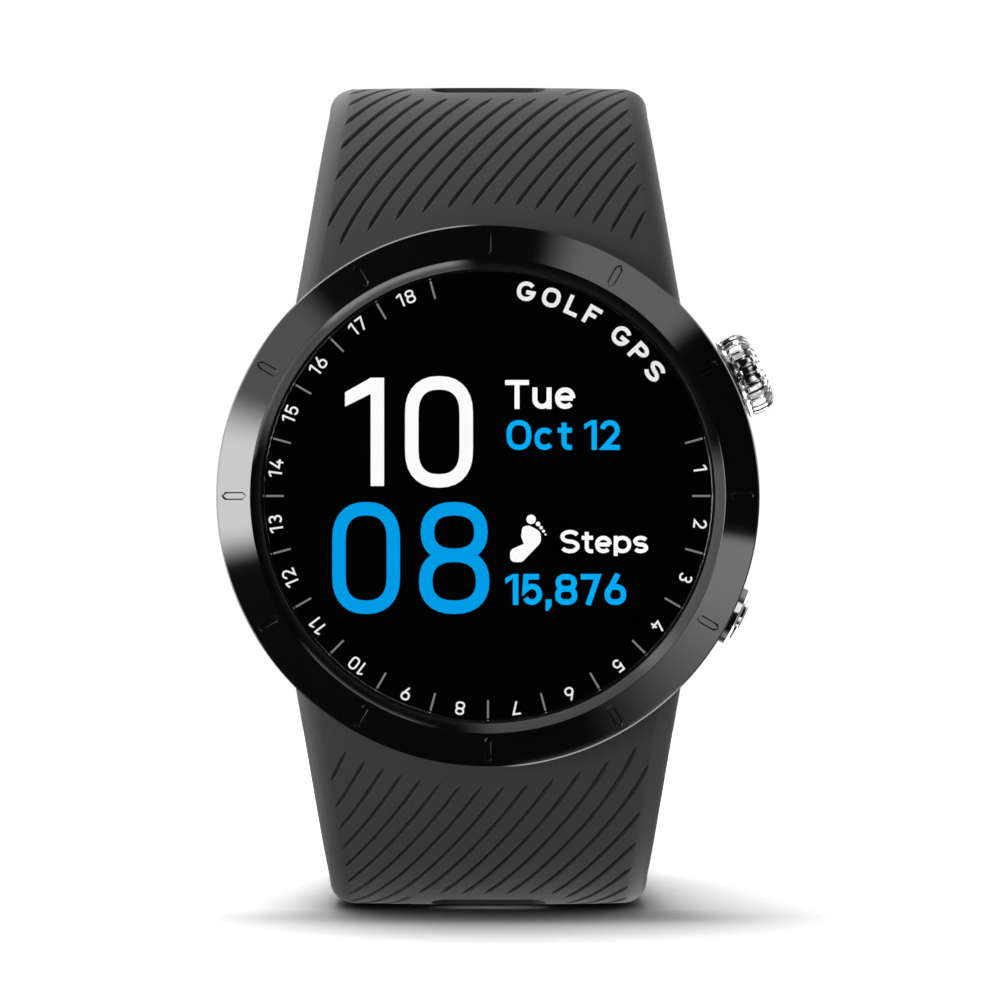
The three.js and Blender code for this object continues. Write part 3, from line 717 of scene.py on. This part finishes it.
def word(text, left, right, base, tall, thick, gap=0.105):
    # a line of text that runs from left to right, with capitals that tall
    widths = [letterWidths[mark] * tall for mark in text]
    stretch = (right - left - (len(text) - 1) * gap * tall) / sum(widths)
    outlines, x = [], left
    for mark, wide in zip(text, widths):
        if mark != " ":
            outlines += [[(x + a, base + b) for a, b in outline]
                         for outline in letter(mark, wide * stretch, tall, thick)]
        x += wide * stretch + gap * tall
    return outlines


def turnedTo(outlines, clock, radius):
    # from upright at the centre to the dial's ring, tops outwards
    angle = math.radians(clock)
    c, s = math.cos(angle), math.sin(angle)
    return [[(a * c + (b + radius) * s, -a * s + (b + radius) * c) for a, b in outline]
            for outline in outlines]


def printed(name, outlines):
    # outlines in (x, z) become one flat raised print on the dial
    stand = Matrix.Translation((0, dial["face"] + 0.01, 0)) @ Matrix.Rotation(math.radians(90), 4, "X")
    return joined(name, [slab("print", outline, dial["printHigh"], stand) for outline in outlines])


def digit(mark, left, right, low, high, thick):
    outlines = letter(mark, right - left, high - low, thick)
    return [[(left + a, low + b) for a, b in outline] for outline in outlines]


def makeDial():
    big = 1.16
    white = digit("1", -12.36, -8.98, 0.86, 10.22, big) + digit("0", -7.17, -1.3, 0.72, 10.36, big)
    white += word("Tue", 1.48, 7.55, 7.52, 2.5, 0.43, 0.12)
    white += word("Steps", 6.25, 13.85, -4.95, 2.02, 0.345, 0.085)
    blue = digit("0", -13.46, -7.6, -10.2, -0.52, big) + digit("8", -5.96, 0.12, -10.2, -0.52, big)
    bright = word("Oct 12", 1.6, 11.4, 3.98, 2.58, 0.44) + word("15,876", 1.5, 11.95, -9.42, 2.68, 0.48, 0.11)
    finishPiece(printed("litWhiteMarks", white + footprint()), "case", [], litWhite)
    finishPiece(printed("litBlueMarks", blue), "case", [], litBlue)
    finishPiece(printed("brightBlueMarks", bright), "case", [], brightBlue)
    ticks, numerals = [], []
    for i in range(dial["ticks"]):
        clock = dial["firstTick"] + i * dial["step"]
        ticks += turnedTo(ribbon([(0, dial["tickIn"]), (0, dial["tickOut"])], dial["tickWide"]), clock, 0)
        if i < dial["ticks"] - 1:
            tall = dial["numeralTall"]
            widths = [letterWidths[mark] * tall for mark in str(i + 1)]
            wide = sum(widths) + 0.24 * tall * (len(widths) - 1)
            number = word(str(i + 1), -wide / 2, wide / 2, -tall / 2, tall, 0.165, 0.24)
            numerals += turnedTo(number, clock + dial["step"] / 2, dial["numeralRadius"])
    # the ring's print glows by itself, painted light
    finishPiece(printed("ringTicks", ticks), "case", [], printGreyPaintedGlow)
    # plain words along the upper right of the ring
    clock, radius = dial["wordsClock"], dial["wordsRadius"]
    for mark in dial["words"]:
        wide = letterWidths[mark] * dial["wordsWide"]
        if mark != " ":
            outlines = letter(mark, wide, dial["wordsTall"], dial["wordsThick"])
            shape = [[(a - wide / 2, b - dial["wordsTall"] / 2) for a, b in outline] for outline in outlines]
            numerals += turnedTo(shape, clock + math.degrees(wide / 2 / radius), radius)
        clock += math.degrees((wide + dial["wordsGap"]) / radius)
    finishPiece(printed("ringPrint", numerals), "case", [], printWhitePaintedGlow)


def footprint():
    # a sole and five toes
    sole = [(1.9, -5.72, 0.8), (2.95, -5.72, 0.5), (4.55, -4.05, 0.6), (4.6, -3.1, 0.8), (3.55, -2.55, 0.5),
            (2.98, -2.65, 0.35), (2.86, -3.5, 0.5), (3.1, -4.14, 0.05), (1.92, -4.66, 0.5)]
    toes = [(3.73, -2.02, 0.41), (4.33, -2.42, 0.2), (4.59, -2.74, 0.155), (4.8, -3.04, 0.135),
            (4.97, -3.33, 0.085)]
    outlines = [rounded(sole, 5)]
    for x, z, r in toes:
        angles = [k * math.pi / 8 for k in range(16)]
        outlines.append([(x + r * math.cos(a), z + r * math.sin(a)) for a in angles])
    return outlines


makeGlass()
makeDial()
print("dial made")

# ---- case, case back, screws and contacts

case = {"radius": 22.0, "lugIn": 11.3, "lugOut": 14.3, "lugRadius": 1.8, "barY": -3.6, "barZ": 24.8,
        "screwCircle": 18.6, "screwAngles": (45, 135, 225, 315), "contactZ": -10.0,
        "contactX": (-3.9, -1.3, 1.3, 3.9)}
controls = {"depth": -6.0, "crown": 25.3, "button": -26.0}
# an outline in (Y, Z), pulled along X
acrossStrap = Matrix(((0, 0, 1, 0), (1, 0, 0, 0), (0, 1, 0, 0), (0, 0, 0, 1)))


def flankMatrix(degrees):
    angle = math.radians(degrees)
    out = Vector((math.cos(angle), 0, math.sin(angle)))
    side = out.cross(Vector((0, 1, 0)))
    matrix = Matrix((side, out, Vector((0, 1, 0)))).transposed().to_4x4()
    return Matrix.Translation((0, controls["depth"], 0)) @ matrix


def makeLug(side, end):
    y, z, r = case["barY"], case["barZ"], case["lugRadius"]
    angles = [math.radians(a) for a in range(0, 181, 12)]
    outline = [(y + r * math.cos(a), z + r * math.sin(a)) for a in angles]
    outline += [(y - r - 0.3, 15), (y + r, 15)]
    width = case["lugOut"] - case["lugIn"]
    lug = slab("lug", outline, width, acrossStrap)
    softened(lug, 0.35, 3)
    start = case["lugIn"] if side > 0 else -case["lugOut"]
    moved(lug, Matrix.Translation((start, 0, 0)))
    hole = case["lugIn"] - 1, case["lugIn"] + 1.3
    boolean(lug, rod("lugHole", 0.62, (side * hole[0], y, z), (side * hole[1], y, z), 24))
    if end < 0:
        moved(lug, Matrix.Diagonal((1, 1, -1, 1)))
    return lug


def makeMidCase():
    section = [(case["radius"], -10.1, 0.35), (case["radius"], -3, 1.2), (20.9, -0.8, 0.25), (20.25, -0.8, 0),
               (20.25, -1.9, 0), (17.2, -1.9, 0), (17.2, -10.9, 0), (17.6, -11.1, 0), (19.75, -11.1, 0),
               (19.75, -12.2, 0), (20.9, -12.2, 0), (20.9, -10.1, 0)]
    obj = turned("midCase", rounded(section, 6), 144)
    for side in (-1, 1):
        for end in (-1, 1):
            lug = makeLug(side, end)
            inside = turned("lugTrim", [(0, -8), (20.8, -8), (20.8, 2), (0, 2)], 96)
            boolean(obj, boolean(lug, inside), "UNION")
    for degrees in (controls["crown"], controls["button"]):
        tool = turned("bore", [(0, 15), (2.15, 15), (2.15, 24), (0, 24)], 40)
        boolean(obj, moved(tool, flankMatrix(degrees)))
    finishPiece(obj, "case", ["mid_case"], satinCase)


def atScrew(degrees):
    return Matrix.Rotation(math.radians(degrees), 4, "Y") @ Matrix.Translation((case["screwCircle"], 0, 0))


def makeCaseBack():
    section = [(0, -1.8, 0), (15.6, -1.8, 0), (15.6, -3, 0), (16.8, -3, 0), (16.8, -1.8, 0), (20, -1.8, 0),
               (20, -0.95, 0.1), (19.8, -0.75, 0.1), (17.2, -0.75, 0.3), (15.8, 0, 0.5), (13.2, 0, 0),
               (13.1, -0.12, 0.05), (12.7, -0.12, 0.05), (12.6, 0, 0), (0, 0, 0)]
    obj = turned("caseBack", rounded(section, 4), 128)
    tools = []
    for degrees in case["screwAngles"]:
        section = [(0, -1.32), (1.35, -1.32), (1.35, -0.85), (1.6, -0.5), (1.6, 0.5), (0, 0.5)]
        sink = turned("sink", section, 32)
        shaft = turned("shaft", [(0, -3), (0.7, -3), (0.7, -1.2), (0, -1.2)], 24)
        tools += [moved(boolean(sink, shaft, "UNION"), atScrew(degrees))]
    for x in case["contactX"]:
        hole = turned("hole", [(0, -2.5), (0.9, -2.5), (0.9, -0.12), (1.05, 0.05), (1.05, 0.5), (0, 0.5)], 32)
        tools.append(moved(hole, Matrix.Translation((x, 0, case["contactZ"]))))
    boolean(obj, joined("backTools", tools))
    finishPiece(obj, "case", ["case_back"], backPlastic)
    for i, degrees in enumerate(case["screwAngles"]):
        section = [(0, -4.7, 0), (0.45, -4.7, 0), (0.55, -4.4, 0), (0.55, -1.26, 0), (1.2, -1.26, 0),
                   (1.2, -0.86, 0.14), (0, -0.8, 0)]
        screw = turned("backScrew", rounded(section, 3), 40)
        boolean(screw, turned("socket", [(0, -1.15), (0.52, -1.15), (0.52, -0.5), (0, -0.5)], 6))
        moved(screw, atScrew(degrees))
        screw.name = f"backScrew{i + 1}"
        finishPiece(screw, "case", [f"case_back_screw_{i + 1}"], turnedSteel)
    for i, x in enumerate(case["contactX"]):
        section = [(0, -2.4, 0), (1.2, -2.4, 0.05), (1.2, -2, 0.05), (0.8, -2, 0), (0.8, -0.06, 0.14),
                   (0, -0.06, 0)]
        contact = turned(f"chargeContact{i + 1}", rounded(section, 3), 40)
        moved(contact, Matrix.Translation((x, 0, case["contactZ"])))
        finishPiece(contact, "case", [f"charge_contact_{i + 1}"], contactGold)


makeMidCase()
makeCaseBack()
print("case made")

# ---- crown and button

crown = {"flutes": 28, "deep": 0.26, "bore": 0.84}


def makeCrown():
    # (distance along the stem, radius, share of the flutes' depth)
    stations = [(23.85, 3.5, 0), (23.88, 3.62, 0), (24.0, 3.62, 0), (24.04, 3.4, 0), (24.14, 3.4, 0),
                (24.2, 3.48, 0.7), (24.3, 3.55, 1), (24.7, 3.62, 1), (25.2, 3.63, 1), (25.6, 3.58, 1),
                (25.95, 3.44, 1), (26.2, 3.2, 1), (26.36, 2.92, 1), (26.45, 2.62, 1), (26.49, 2.4, 0.5),
                (26.5, 2.2, 0), (26.5, 1.2, 0), (26.5, 0.05, 0)]
    tooth = [(0.0, 0), (0.25, 0), (0.5, 0), (0.6, 0.75), (0.75, 1), (0.9, 0.75)]

    def placeOf(station, point):
        height, radius, share = stations[station]
        before, after = stations[max(station - 1, 0)], stations[min(station + 1, len(stations) - 1)]
        normal = Vector((before[1] - after[1], after[0] - before[0])).normalized()
        turn, dip = tooth[point % 6]
        angle = (point // 6 + turn) * 2 * math.pi / crown["flutes"]
        r = radius - dip * share * crown["deep"] * normal.y
        return r * math.cos(angle), height - dip * share * crown["deep"] * normal.x, r * math.sin(angle)

    obj = lofted("crownKnob", crown["flutes"] * 6, len(stations), placeOf)
    boolean(obj, turned("springRoom", [(0, 22), (2.5, 22), (2.5, 24.95), (0, 24.95)], 64))
    boolean(obj, turned("stemBore", [(0, 24), (crown["bore"], 24), (crown["bore"], 25.4), (0, 25.4)], 32))
    moved(obj, flankMatrix(controls["crown"]))
    finishPiece(obj, "crown_turn", ["crown"], polishedSteel, 30)


crownSpring = {"radius": 1.95, "wire": 0.13, "from": 23.4, "to": 24.75, "turns": 3, "pressed": 0.62}


def makeCrownSpring():
    # a coil round the stem under the crown; the real spring shortens as the crown goes in, but this one is
    # made at one length and fixed to the case
    steps = crownSpring["turns"] * 24

    def placeOf(station, point):
        along = station / steps
        turn, about = along * crownSpring["turns"] * 2 * math.pi, point * math.pi / 4
        r = crownSpring["radius"] + crownSpring["wire"] * math.cos(about)
        height = crownSpring["from"] + (crownSpring["to"] - crownSpring["from"]) * along
        return r * math.cos(turn), height + crownSpring["wire"] * math.sin(about), r * math.sin(turn)

    place = flankMatrix(controls["crown"])
    obj = moved(lofted("crownSpring", 8, steps + 1, placeOf), place)
    finishPiece(obj, "case", ["crown_spring"], turnedSteel)
    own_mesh(obj)


def makeTube(name, node, flange, top, degrees):
    r = case["radius"] + 0.1
    section = [(0.9, 16.4, 0), (2, 16.4, 0), (2, r, 0), (flange, r, 0.05), (flange, top, 0.1),
               (1.55, top, 0.05), (1.55, 20.8, 0), (0.9, 20.8, 0)]
    obj = moved(turned(name, rounded(section, 3), 64), flankMatrix(degrees))
    finishPiece(obj, "case", [node], polishedSteel)


def makeStem(name, end, clipAt):
    section = [(0, 15.7, 0), (0.7, 15.7, 0), (0.8, 15.8, 0), (0.8, clipAt - 0.2, 0), (0.55, clipAt - 0.2, 0),
               (0.55, clipAt + 0.2, 0), (0.8, clipAt + 0.2, 0), (0.8, end, 0.05), (0, end, 0)]
    return turned(name, rounded(section, 3), 40)


def makeButton():
    section = [(0, 22.95, 0), (2.4, 22.95, 0.05), (2.58, 23.15, 0.05), (2.58, 24.22, 0.06),
               (2.42, 24.4, 0.06), (2.12, 24.4, 0.04), (2.0, 24.3, 0.04), (1.92, 24.42, 0.04),
               (1.88, 24.66, 0.06), (1.72, 24.8, 0.1), (0, 24.8, 0)]
    obj = turned("buttonCap", rounded(section, 4), 96)
    boolean(obj, makeStem("buttonStem", 23.6, 16.0), "UNION")
    moved(obj, flankMatrix(controls["button"]))
    finishPiece(obj, "button_press", ["button"], polishedSteel, 28)


makeCrown()
makeCrownSpring()
makeTube("crownTube", "crown_tube", 3.2, 23.2, controls["crown"])
stem = moved(makeStem("crownStem", 25.3, 15.9), flankMatrix(controls["crown"]))
finishPiece(stem, "crown_press", ["crown_stem"], polishedSteel)
makeTube("buttonTube", "button_tube", 2.5, 22.4, controls["button"])
makeButton()
print("crown and button made")

# ---- strap halves

strap = {"bendHalf": 14.25, "thick": 2.8, "crown": 0.13, "firstSlot": 24.8, "slotPitch": 7.5,
         "slotLong": 10.4, "slotWide": 3.0, "groovePitch": 1.93, "grooveHalf": 0.22, "grooveDeep": 0.34,
         "grooveEdge": 1.75,
         "grooveEnd": 31.0, "bezelBand": 25.4, "clear": 23.2, "flare": 2.7, "flareReach": 22,
         "flareCurve": 1.35, "taper": 2.25, "headThick": 2.4}
upperBend = {"y": 16.0, "z": 17.0, "radius": 20.0, "straight": 24.0}
lowerBend = {"y": 46.0, "z": 11.0, "radius": 26.0, "straight": 22.0}


class StrapPath:
    # the outer face's line in (Y, Z): a swept start, a flat, a quarter bend and a straight end
    def __init__(self, bend):
        self.bend = bend
        p = [Vector(v) for v in ((-9.9, 16.5), (-8.3, 27.5), (-4.5, 37), (5, 37))]
        self.curve, self.lengths = [], [0.0]
        for k in range(401):
            t = k / 400
            u = 1 - t
            self.curve.append(p[0] * u ** 3 + p[1] * 3 * u * u * t + p[2] * 3 * u * t * t + p[3] * t ** 3)
            if k:
                self.lengths.append(self.lengths[-1] + (self.curve[k] - self.curve[k - 1]).length)
        self.flatStart = self.lengths[-1]
        self.bendStart = self.flatStart + bend["y"] - 5
        self.bendEnd = self.bendStart + bend["radius"] * math.pi / 2
        self.length = self.bendEnd + bend["straight"]

    def at(self, s):
        b = self.bend
        if s < self.flatStart:
            low, high = 0, 400
            while high - low > 1:
                k = (low + high) // 2
                if self.lengths[k] <= s:
                    low = k
                else:
                    high = k
            share = (s - self.lengths[low]) / (self.lengths[high] - self.lengths[low])
            before = self.curve[max(0, low - 2)]
            after = self.curve[min(400, high + 2)]
            return self.curve[low].lerp(self.curve[high], share), (after - before).normalized()
        if s < self.bendStart:
            return Vector((5 + s - self.flatStart, 37)), Vector((1, 0))
        if s < self.bendEnd:
            a = (s - self.bendStart) / b["radius"]
            return (Vector((b["y"] + b["radius"] * math.sin(a), b["z"] + b["radius"] * math.cos(a))),
                    Vector((math.cos(a), -math.sin(a))))
        return Vector((b["y"] + b["radius"], b["z"] - (s - self.bendEnd))), Vector((0, -1))

    def place(self, x, s, out):
        point, along = self.at(s)
        return Vector((x, point.x - along.y * out, point.y + along.x * out))

    def matrixAt(self, s, depth=0.0):
        point, along = self.at(s)
        out = Vector((0, -along.y, along.x))
        matrix = Matrix((Vector((1, 0, 0)), Vector((0, along.x, along.y)), out)).transposed().to_4x4()
        return Matrix.Translation(Vector((0, point.x, point.y)) - out * depth) @ matrix


def smooth(low, high, value):
    t = min(1, max(0, (value - low) / (high - low)))
    return t * t * (3 - 2 * t)


def halfWidth(s):
    flare = strap["flare"] * max(0, 1 - s / strap["flareReach"]) ** strap["flareCurve"]
    return strap["bendHalf"] + flare - strap["taper"] * smooth(28, 60, s)


def thickness(s):
    return strap["thick"] + strap["headThick"] * (1 - smooth(9, 26, s))


def crownDrop(x):
    # the outer face is a little domed across its width
    return strap["crown"] * (x / 12) ** 2


def strapBlank(name, path, roundTip):
    # flat at first: X across, Y along, Z out of the outer face
    marks = [(1, inset, 1, 0.0) for inset in (11.8, 8.8, 5.8, 3.4, 1.9)]          # the domed face
    marks += [(1, inset, 1, drop) for inset, drop in ((1.5, 0.1), (1.08, 0.24), (0.65, 0.5), (0.33, 0.82),
                                                      (0.1, 1.25), (0, 1.75))]   # the shoulder
    marks += [(1, 0.0, 0, 0.5), (1, 0.12, 0, 0.15), (1, 0.45, 0, 0.0)]           # side to the inner face
    marks += [(-1, inset, outer, drop) for side, inset, outer, drop in reversed(marks)]
    stations, s = [], 0.0
    tail = 8.0 if roundTip else 1.4
    while s < path.length - tail:
        stations.append((s, 1.0))
        s += 1.0
    for k in range(25):
        a = math.radians(k * 90 / 24)
        stations.append((path.length - tail + tail * math.sin(a), math.cos(a)))

    def placeOf(station, point):
        s, scale = stations[station]
        side, inset, outer, drop = marks[point]
        half, thick = halfWidth(s), thickness(s)
        if roundTip:
            half = max(half * scale, 0.3)
            inset *= min(1, half / 12)
            drop *= min(1, half / 3)
        x = side * (half - inset)
        depth = drop + crownDrop(x) if outer else thick - drop
        if not roundTip:
            depth = thick / 2 + (depth - thick / 2) * max(scale, 0.35)
        return x, s, -depth

    return lofted(name, len(marks), len(stations), placeOf)


def slant(x, s):
    # grooves lean more along the strap, and least beside the bezel
    return 0.78 - 0.5 * (1 - smooth(2, 16, s)) * (0.35 + 0.7 * min(1, (x / 15) ** 2))


def grooveLines(path):
    # where each slanting groove runs: clear of the bezel, the edges and the slots
    lines = []
    for k in range(-17, 9):
        points = []
        for way in (-0.1, 0.1):
            x, s = 0.39 + k * strap["groovePitch"], 9.0
            while 2 < s < strap["grooveEnd"]:
                points.append((s, x))
                x += slant(x, s) * way
                s += way
        run = []
        for s, x in sorted(points) + [(0, 99)]:
            clear = (abs(x) < halfWidth(s) - strap["grooveEdge"]
                     and math.hypot(x, path.at(s)[0].y) > strap["bezelBand"]
                     and (abs(x) > strap["slotLong"] / 2 + 1.6 or s < strap["firstSlot"] - 2.9))
            if clear:
                run.append((x, s))
            else:
                if len(run) > 12:
                    lines.append(run)
                run = []
    return lines


def grooveTool(path):
    # V cutters with pointed ends
    tools = []
    for run in grooveLines(path):
        points = [Vector(point) for point in run[::6] + [run[-1]]]

        def placeOf(station, point):
            here = points[station]
            before, after = points[max(0, station - 1)], points[min(len(points) - 1, station + 1)]
            across = (after - before).normalized()
            across = Vector((across.y, -across.x))
            reach = min((here - points[0]).length, (here - points[-1]).length)
            share = 0.15 + 0.85 * smooth(0, 0.7, reach)
            half, deep = strap["grooveHalf"] * share, strap["grooveDeep"] * share
            x, s = here + across * ((-1, 1, 0)[point] * half * (1 + 0.1 / deep))
            return x, s, (0.1 if point < 2 else -deep) - crownDrop(x)

        tools.append(lofted("groove", 3, len(points), placeOf))
    return joined("grooveTool", tools)


def slotTool(path, count):
    tools = []
    reach, r = (strap["slotLong"] - strap["slotWide"]) / 2, strap["slotWide"] / 2
    angles = [math.radians(-90 + k * 15) for k in range(13)]
    outline = [(reach + r * math.cos(a), r * math.sin(a)) for a in angles]
    outline += [(-reach - r * math.cos(a), -r * math.sin(a)) for a in angles]
    for i in range(count):
        s = strap["firstSlot"] + i * strap["slotPitch"]
        tools.append(slab("slot", outline, 8, Matrix.Translation((0, s, -6))))
    return joined("slotTool", tools)


def headTools():
    y, z = case["barY"], case["barZ"]
    r = case["lugRadius"] + 0.35
    tools = [turned("caseRoom", [(0, -14), (strap["clear"], -14), (strap["clear"], 4), (0, 4)], 180)]
    outline = [(y + 12, z + 1.5), (y + 2, z + 1.5)]
    angles = [math.radians(a) for a in range(45, 181, 9)]
    outline += [(y + r * math.cos(a), z + r * math.sin(a)) for a in angles]
    outline += [(y - r - 1.95, 14), (y + 12, 14)]
    near, far = case["lugIn"] - 0.3, case["lugOut"] + 0.35
    for start, end in ((near, far), (-far, -near)):
        room = slab("lugRoom", outline, end - start, acrossStrap)
        tools.append(moved(room, Matrix.Translation((start, 0, 0))))
    tools.append(rod("barBore", 1.0, (-13, y, z), (13, y, z), 32))
    tools.append(brick("leverRoom", (5.6, 8, 2.4), (8.4, y + 4, z)))
    return tools


def makeStrap(name, path, slots, roundTip):
    obj = strapBlank(name, path, roundTip)
    boolean(obj, slotTool(path, slots))
    softened(obj, 0.16, 2, 60)
    boolean(obj, grooveTool(path))
    for vertex in obj.data.vertices:
        vertex.co = path.place(vertex.co.x, vertex.co.y, vertex.co.z)
    for tool in headTools():
        boolean(obj, tool)
    return obj


upperPath, lowerPath = StrapPath(upperBend), StrapPath(lowerBend)
pinPlace = upperPath.length - 1.7
buckleMatrix = upperPath.matrixAt(pinPlace, thickness(pinPlace) / 2)
halfTurn = Matrix.Rotation(math.pi, 4, "Y")

upperStrap = makeStrap("strapBuckleSide", upperPath, 3, False)
boolean(upperStrap, moved(brick("tongueNotch", (9.6, 12, 4), (0, 1, 0)), buckleMatrix))
boolean(upperStrap, moved(rod("pinHole", 0.85, (-13, 0, 0), (13, 0, 0), 32), buckleMatrix))
finishPiece(upperStrap, "upper_strap", ["strap_buckle_side"], strapRubber, 32, True)
lowerStrap = moved(makeStrap("strapHoleSide", lowerPath, 12, True), halfTurn)
finishPiece(lowerStrap, "lower_strap", ["strap_hole_side"], strapRubber, 32, True)
print("straps made:", len(upperStrap.data.polygons), len(lowerStrap.data.polygons), "faces")

# ---- spring bars, buckle and keepers


def makeBar(name, node, body, turn):
    y, z = case["barY"], case["barZ"]
    section = [(0, -12.3, 0), (0.4, -12.3, 0.1), (0.5, -12.1, 0), (0.5, -10.9, 0), (0.75, -10.9, 0),
               (0.9, -10.7, 0.05), (0.9, 10.9, 0.08), (0.62, 10.9, 0), (0.62, 4, 0), (0, 4, 0)]
    obj = turned(name, rounded(section, 3), 40)
    turnX = Matrix.Rotation(math.radians(-90), 4, "Z")
    moved(obj, Matrix.Translation((0, y, z)) @ turnX)
    boolean(obj, brick("window", (4.2, 3, 1.3), (7.9, y + 1.5, z)))
    finishPiece(moved(obj, turn), body, [node], turnedSteel)


def makeLever(name, node, body, turn):
    y, z = case["barY"], case["barZ"]
    obj = rod(name, 0.5, (6.2, y, z), (12.3, y, z), 32, 0.12)
    knob = rod("leverKnob", 0.5, (8.9, y, z), (8.9, y + 2.2, z), 32, 0.2)
    boolean(obj, knob, "UNION")
    finishPiece(moved(obj, turn), body, [node], turnedSteel)


def makeBuckleFrame():
    outer = [(14.7, -1.8, 2), (14.7, 12.8, 2), (-14.7, 12.8, 2), (-14.7, -1.8, 2)]
    inner = [(12.4, -8, 0), (12.4, 10.2, 1), (-12.4, 10.2, 1), (-12.4, -8, 0)]
    obj = slab("buckleFrame", rounded(outer, 8), 2.2, Matrix.Translation((0, 0, -1.1)))
    boolean(obj, slab("buckleOpening", rounded(inner, 6), 6, Matrix.Translation((0, 0, -3))))
    softened(obj, 0.5, 4)
    boolean(obj, rod("pinSeat", 0.62, (-13.6, 0, 0), (13.6, 0, 0), 32))
    finishPiece(moved(obj, buckleMatrix), "buckle", ["buckle_frame"], buckleBlack)


def makeTongue():
    side = [(0.2, 0.4, 0), (9.8, 1.3, 1.5), (12.6, 1.25, 0.1), (12.9, 1.7, 0.15), (11.4, 2.5, 0.6),
            (9.6, 2.6, 1.0), (0.2, 1.6, 0)]
    arm = slab("tongueArm", rounded(side, 5), 8.4, acrossStrap)
    moved(arm, Matrix.Translation((-4.2, 0, 0)))
    softened(arm, 0.25, 3)
    hub = rod("tongueHub", 1.65, (-4.2, 0, 0), (4.2, 0, 0), 48, 0.2)
    boolean(hub, arm, "UNION")
    boolean(hub, rod("tongueBore", 0.88, (-6, 0, 0), (6, 0, 0), 32))
    hub.name = hub.data.name = "buckleTongue"
    finishPiece(moved(hub, buckleMatrix), "tongue", ["buckle_tongue"], buckleBlack)


def makePin():
    section = [(0, -13.3, 0), (0.5, -13.3, 0.12), (0.5, -12.1, 0), (0.75, -12.1, 0.1), (0.75, 12.1, 0.1),
               (0.5, 12.1, 0), (0.5, 13.3, 0.12), (0, 13.3, 0)]
    obj = turned("bucklePin", rounded(section, 3), 32)
    moved(obj, buckleMatrix @ Matrix.Rotation(math.radians(-90), 4, "Z"))
    finishPiece(obj, "upper_strap", ["buckle_pin"], turnedSteel)


def makeKeeper(name, node, body, half, low, fromPin):
    wall, high = 1.3, 4.7
    outer = [(half + wall, low - wall, 2), (half + wall, high + wall, 2), (-half - wall, high + wall, 2),
             (-half - wall, low - wall, 2)]
    inner = [(half, low, 0.3), (half, high, 1.0), (-half, high, 1.0), (-half, low, 0.3)]
    upright = Matrix(((1, 0, 0, 0), (0, 0, -1, -fromPin), (0, 1, 0, 0), (0, 0, 0, 1)))
    obj = slab(name, rounded(outer, 8), 4.4, Matrix.Translation((0, 0, -2.2)))
    boolean(obj, slab("keeperOpening", rounded(inner, 6), 8, Matrix.Translation((0, 0, -4))))
    softened(obj, 0.4, 4)
    moved(obj, buckleMatrix @ upright)
    finishPiece(obj, body, [node], strapRubber)


makeBar("springBarUpper", "spring_bar_upper", "upper_strap", Matrix.Identity(4))
makeBar("springBarLower", "spring_bar_lower", "lower_strap", halfTurn)
makeLever("releaseLeverUpper", "release_lever_upper", "upper_release", Matrix.Identity(4))
makeLever("releaseLeverLower", "release_lever_lower", "lower_release", halfTurn)
makePin()
makeBuckleFrame()
makeTongue()
makeKeeper("fixedKeeper", "fixed_keeper", "upper_strap", 12.1, -1.5, 11.5)
makeKeeper("freeKeeper", "free_keeper", "sliding_keeper", 12.3, -1.65, 18.6)
print("buckle and keepers made")

# ---- pieces kept from the frame get their finishes

kept = {
    "bezel_seal": sealRubber, "glass_seal": sealRubber, "case_back_seal": sealRubber,
    "crown_seal": sealRubber, "button_seal": sealRubber, "display_frame": innerPlastic,
    "display_flex": boardGreen,
    "main_board": boardGreen, "processor_shield": cellFoil, "gps_antenna": innerPlastic, "battery": cellFoil,
    "vibration_motor": turnedSteel, "crown_clip": turnedSteel,
    "crown_switch": innerPlastic, "button_clip": turnedSteel, "button_switch": innerPlastic,
}
for node, material in kept.items():
    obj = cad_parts[node]
    obj.data.materials.clear()
    obj.data.materials.append(material)
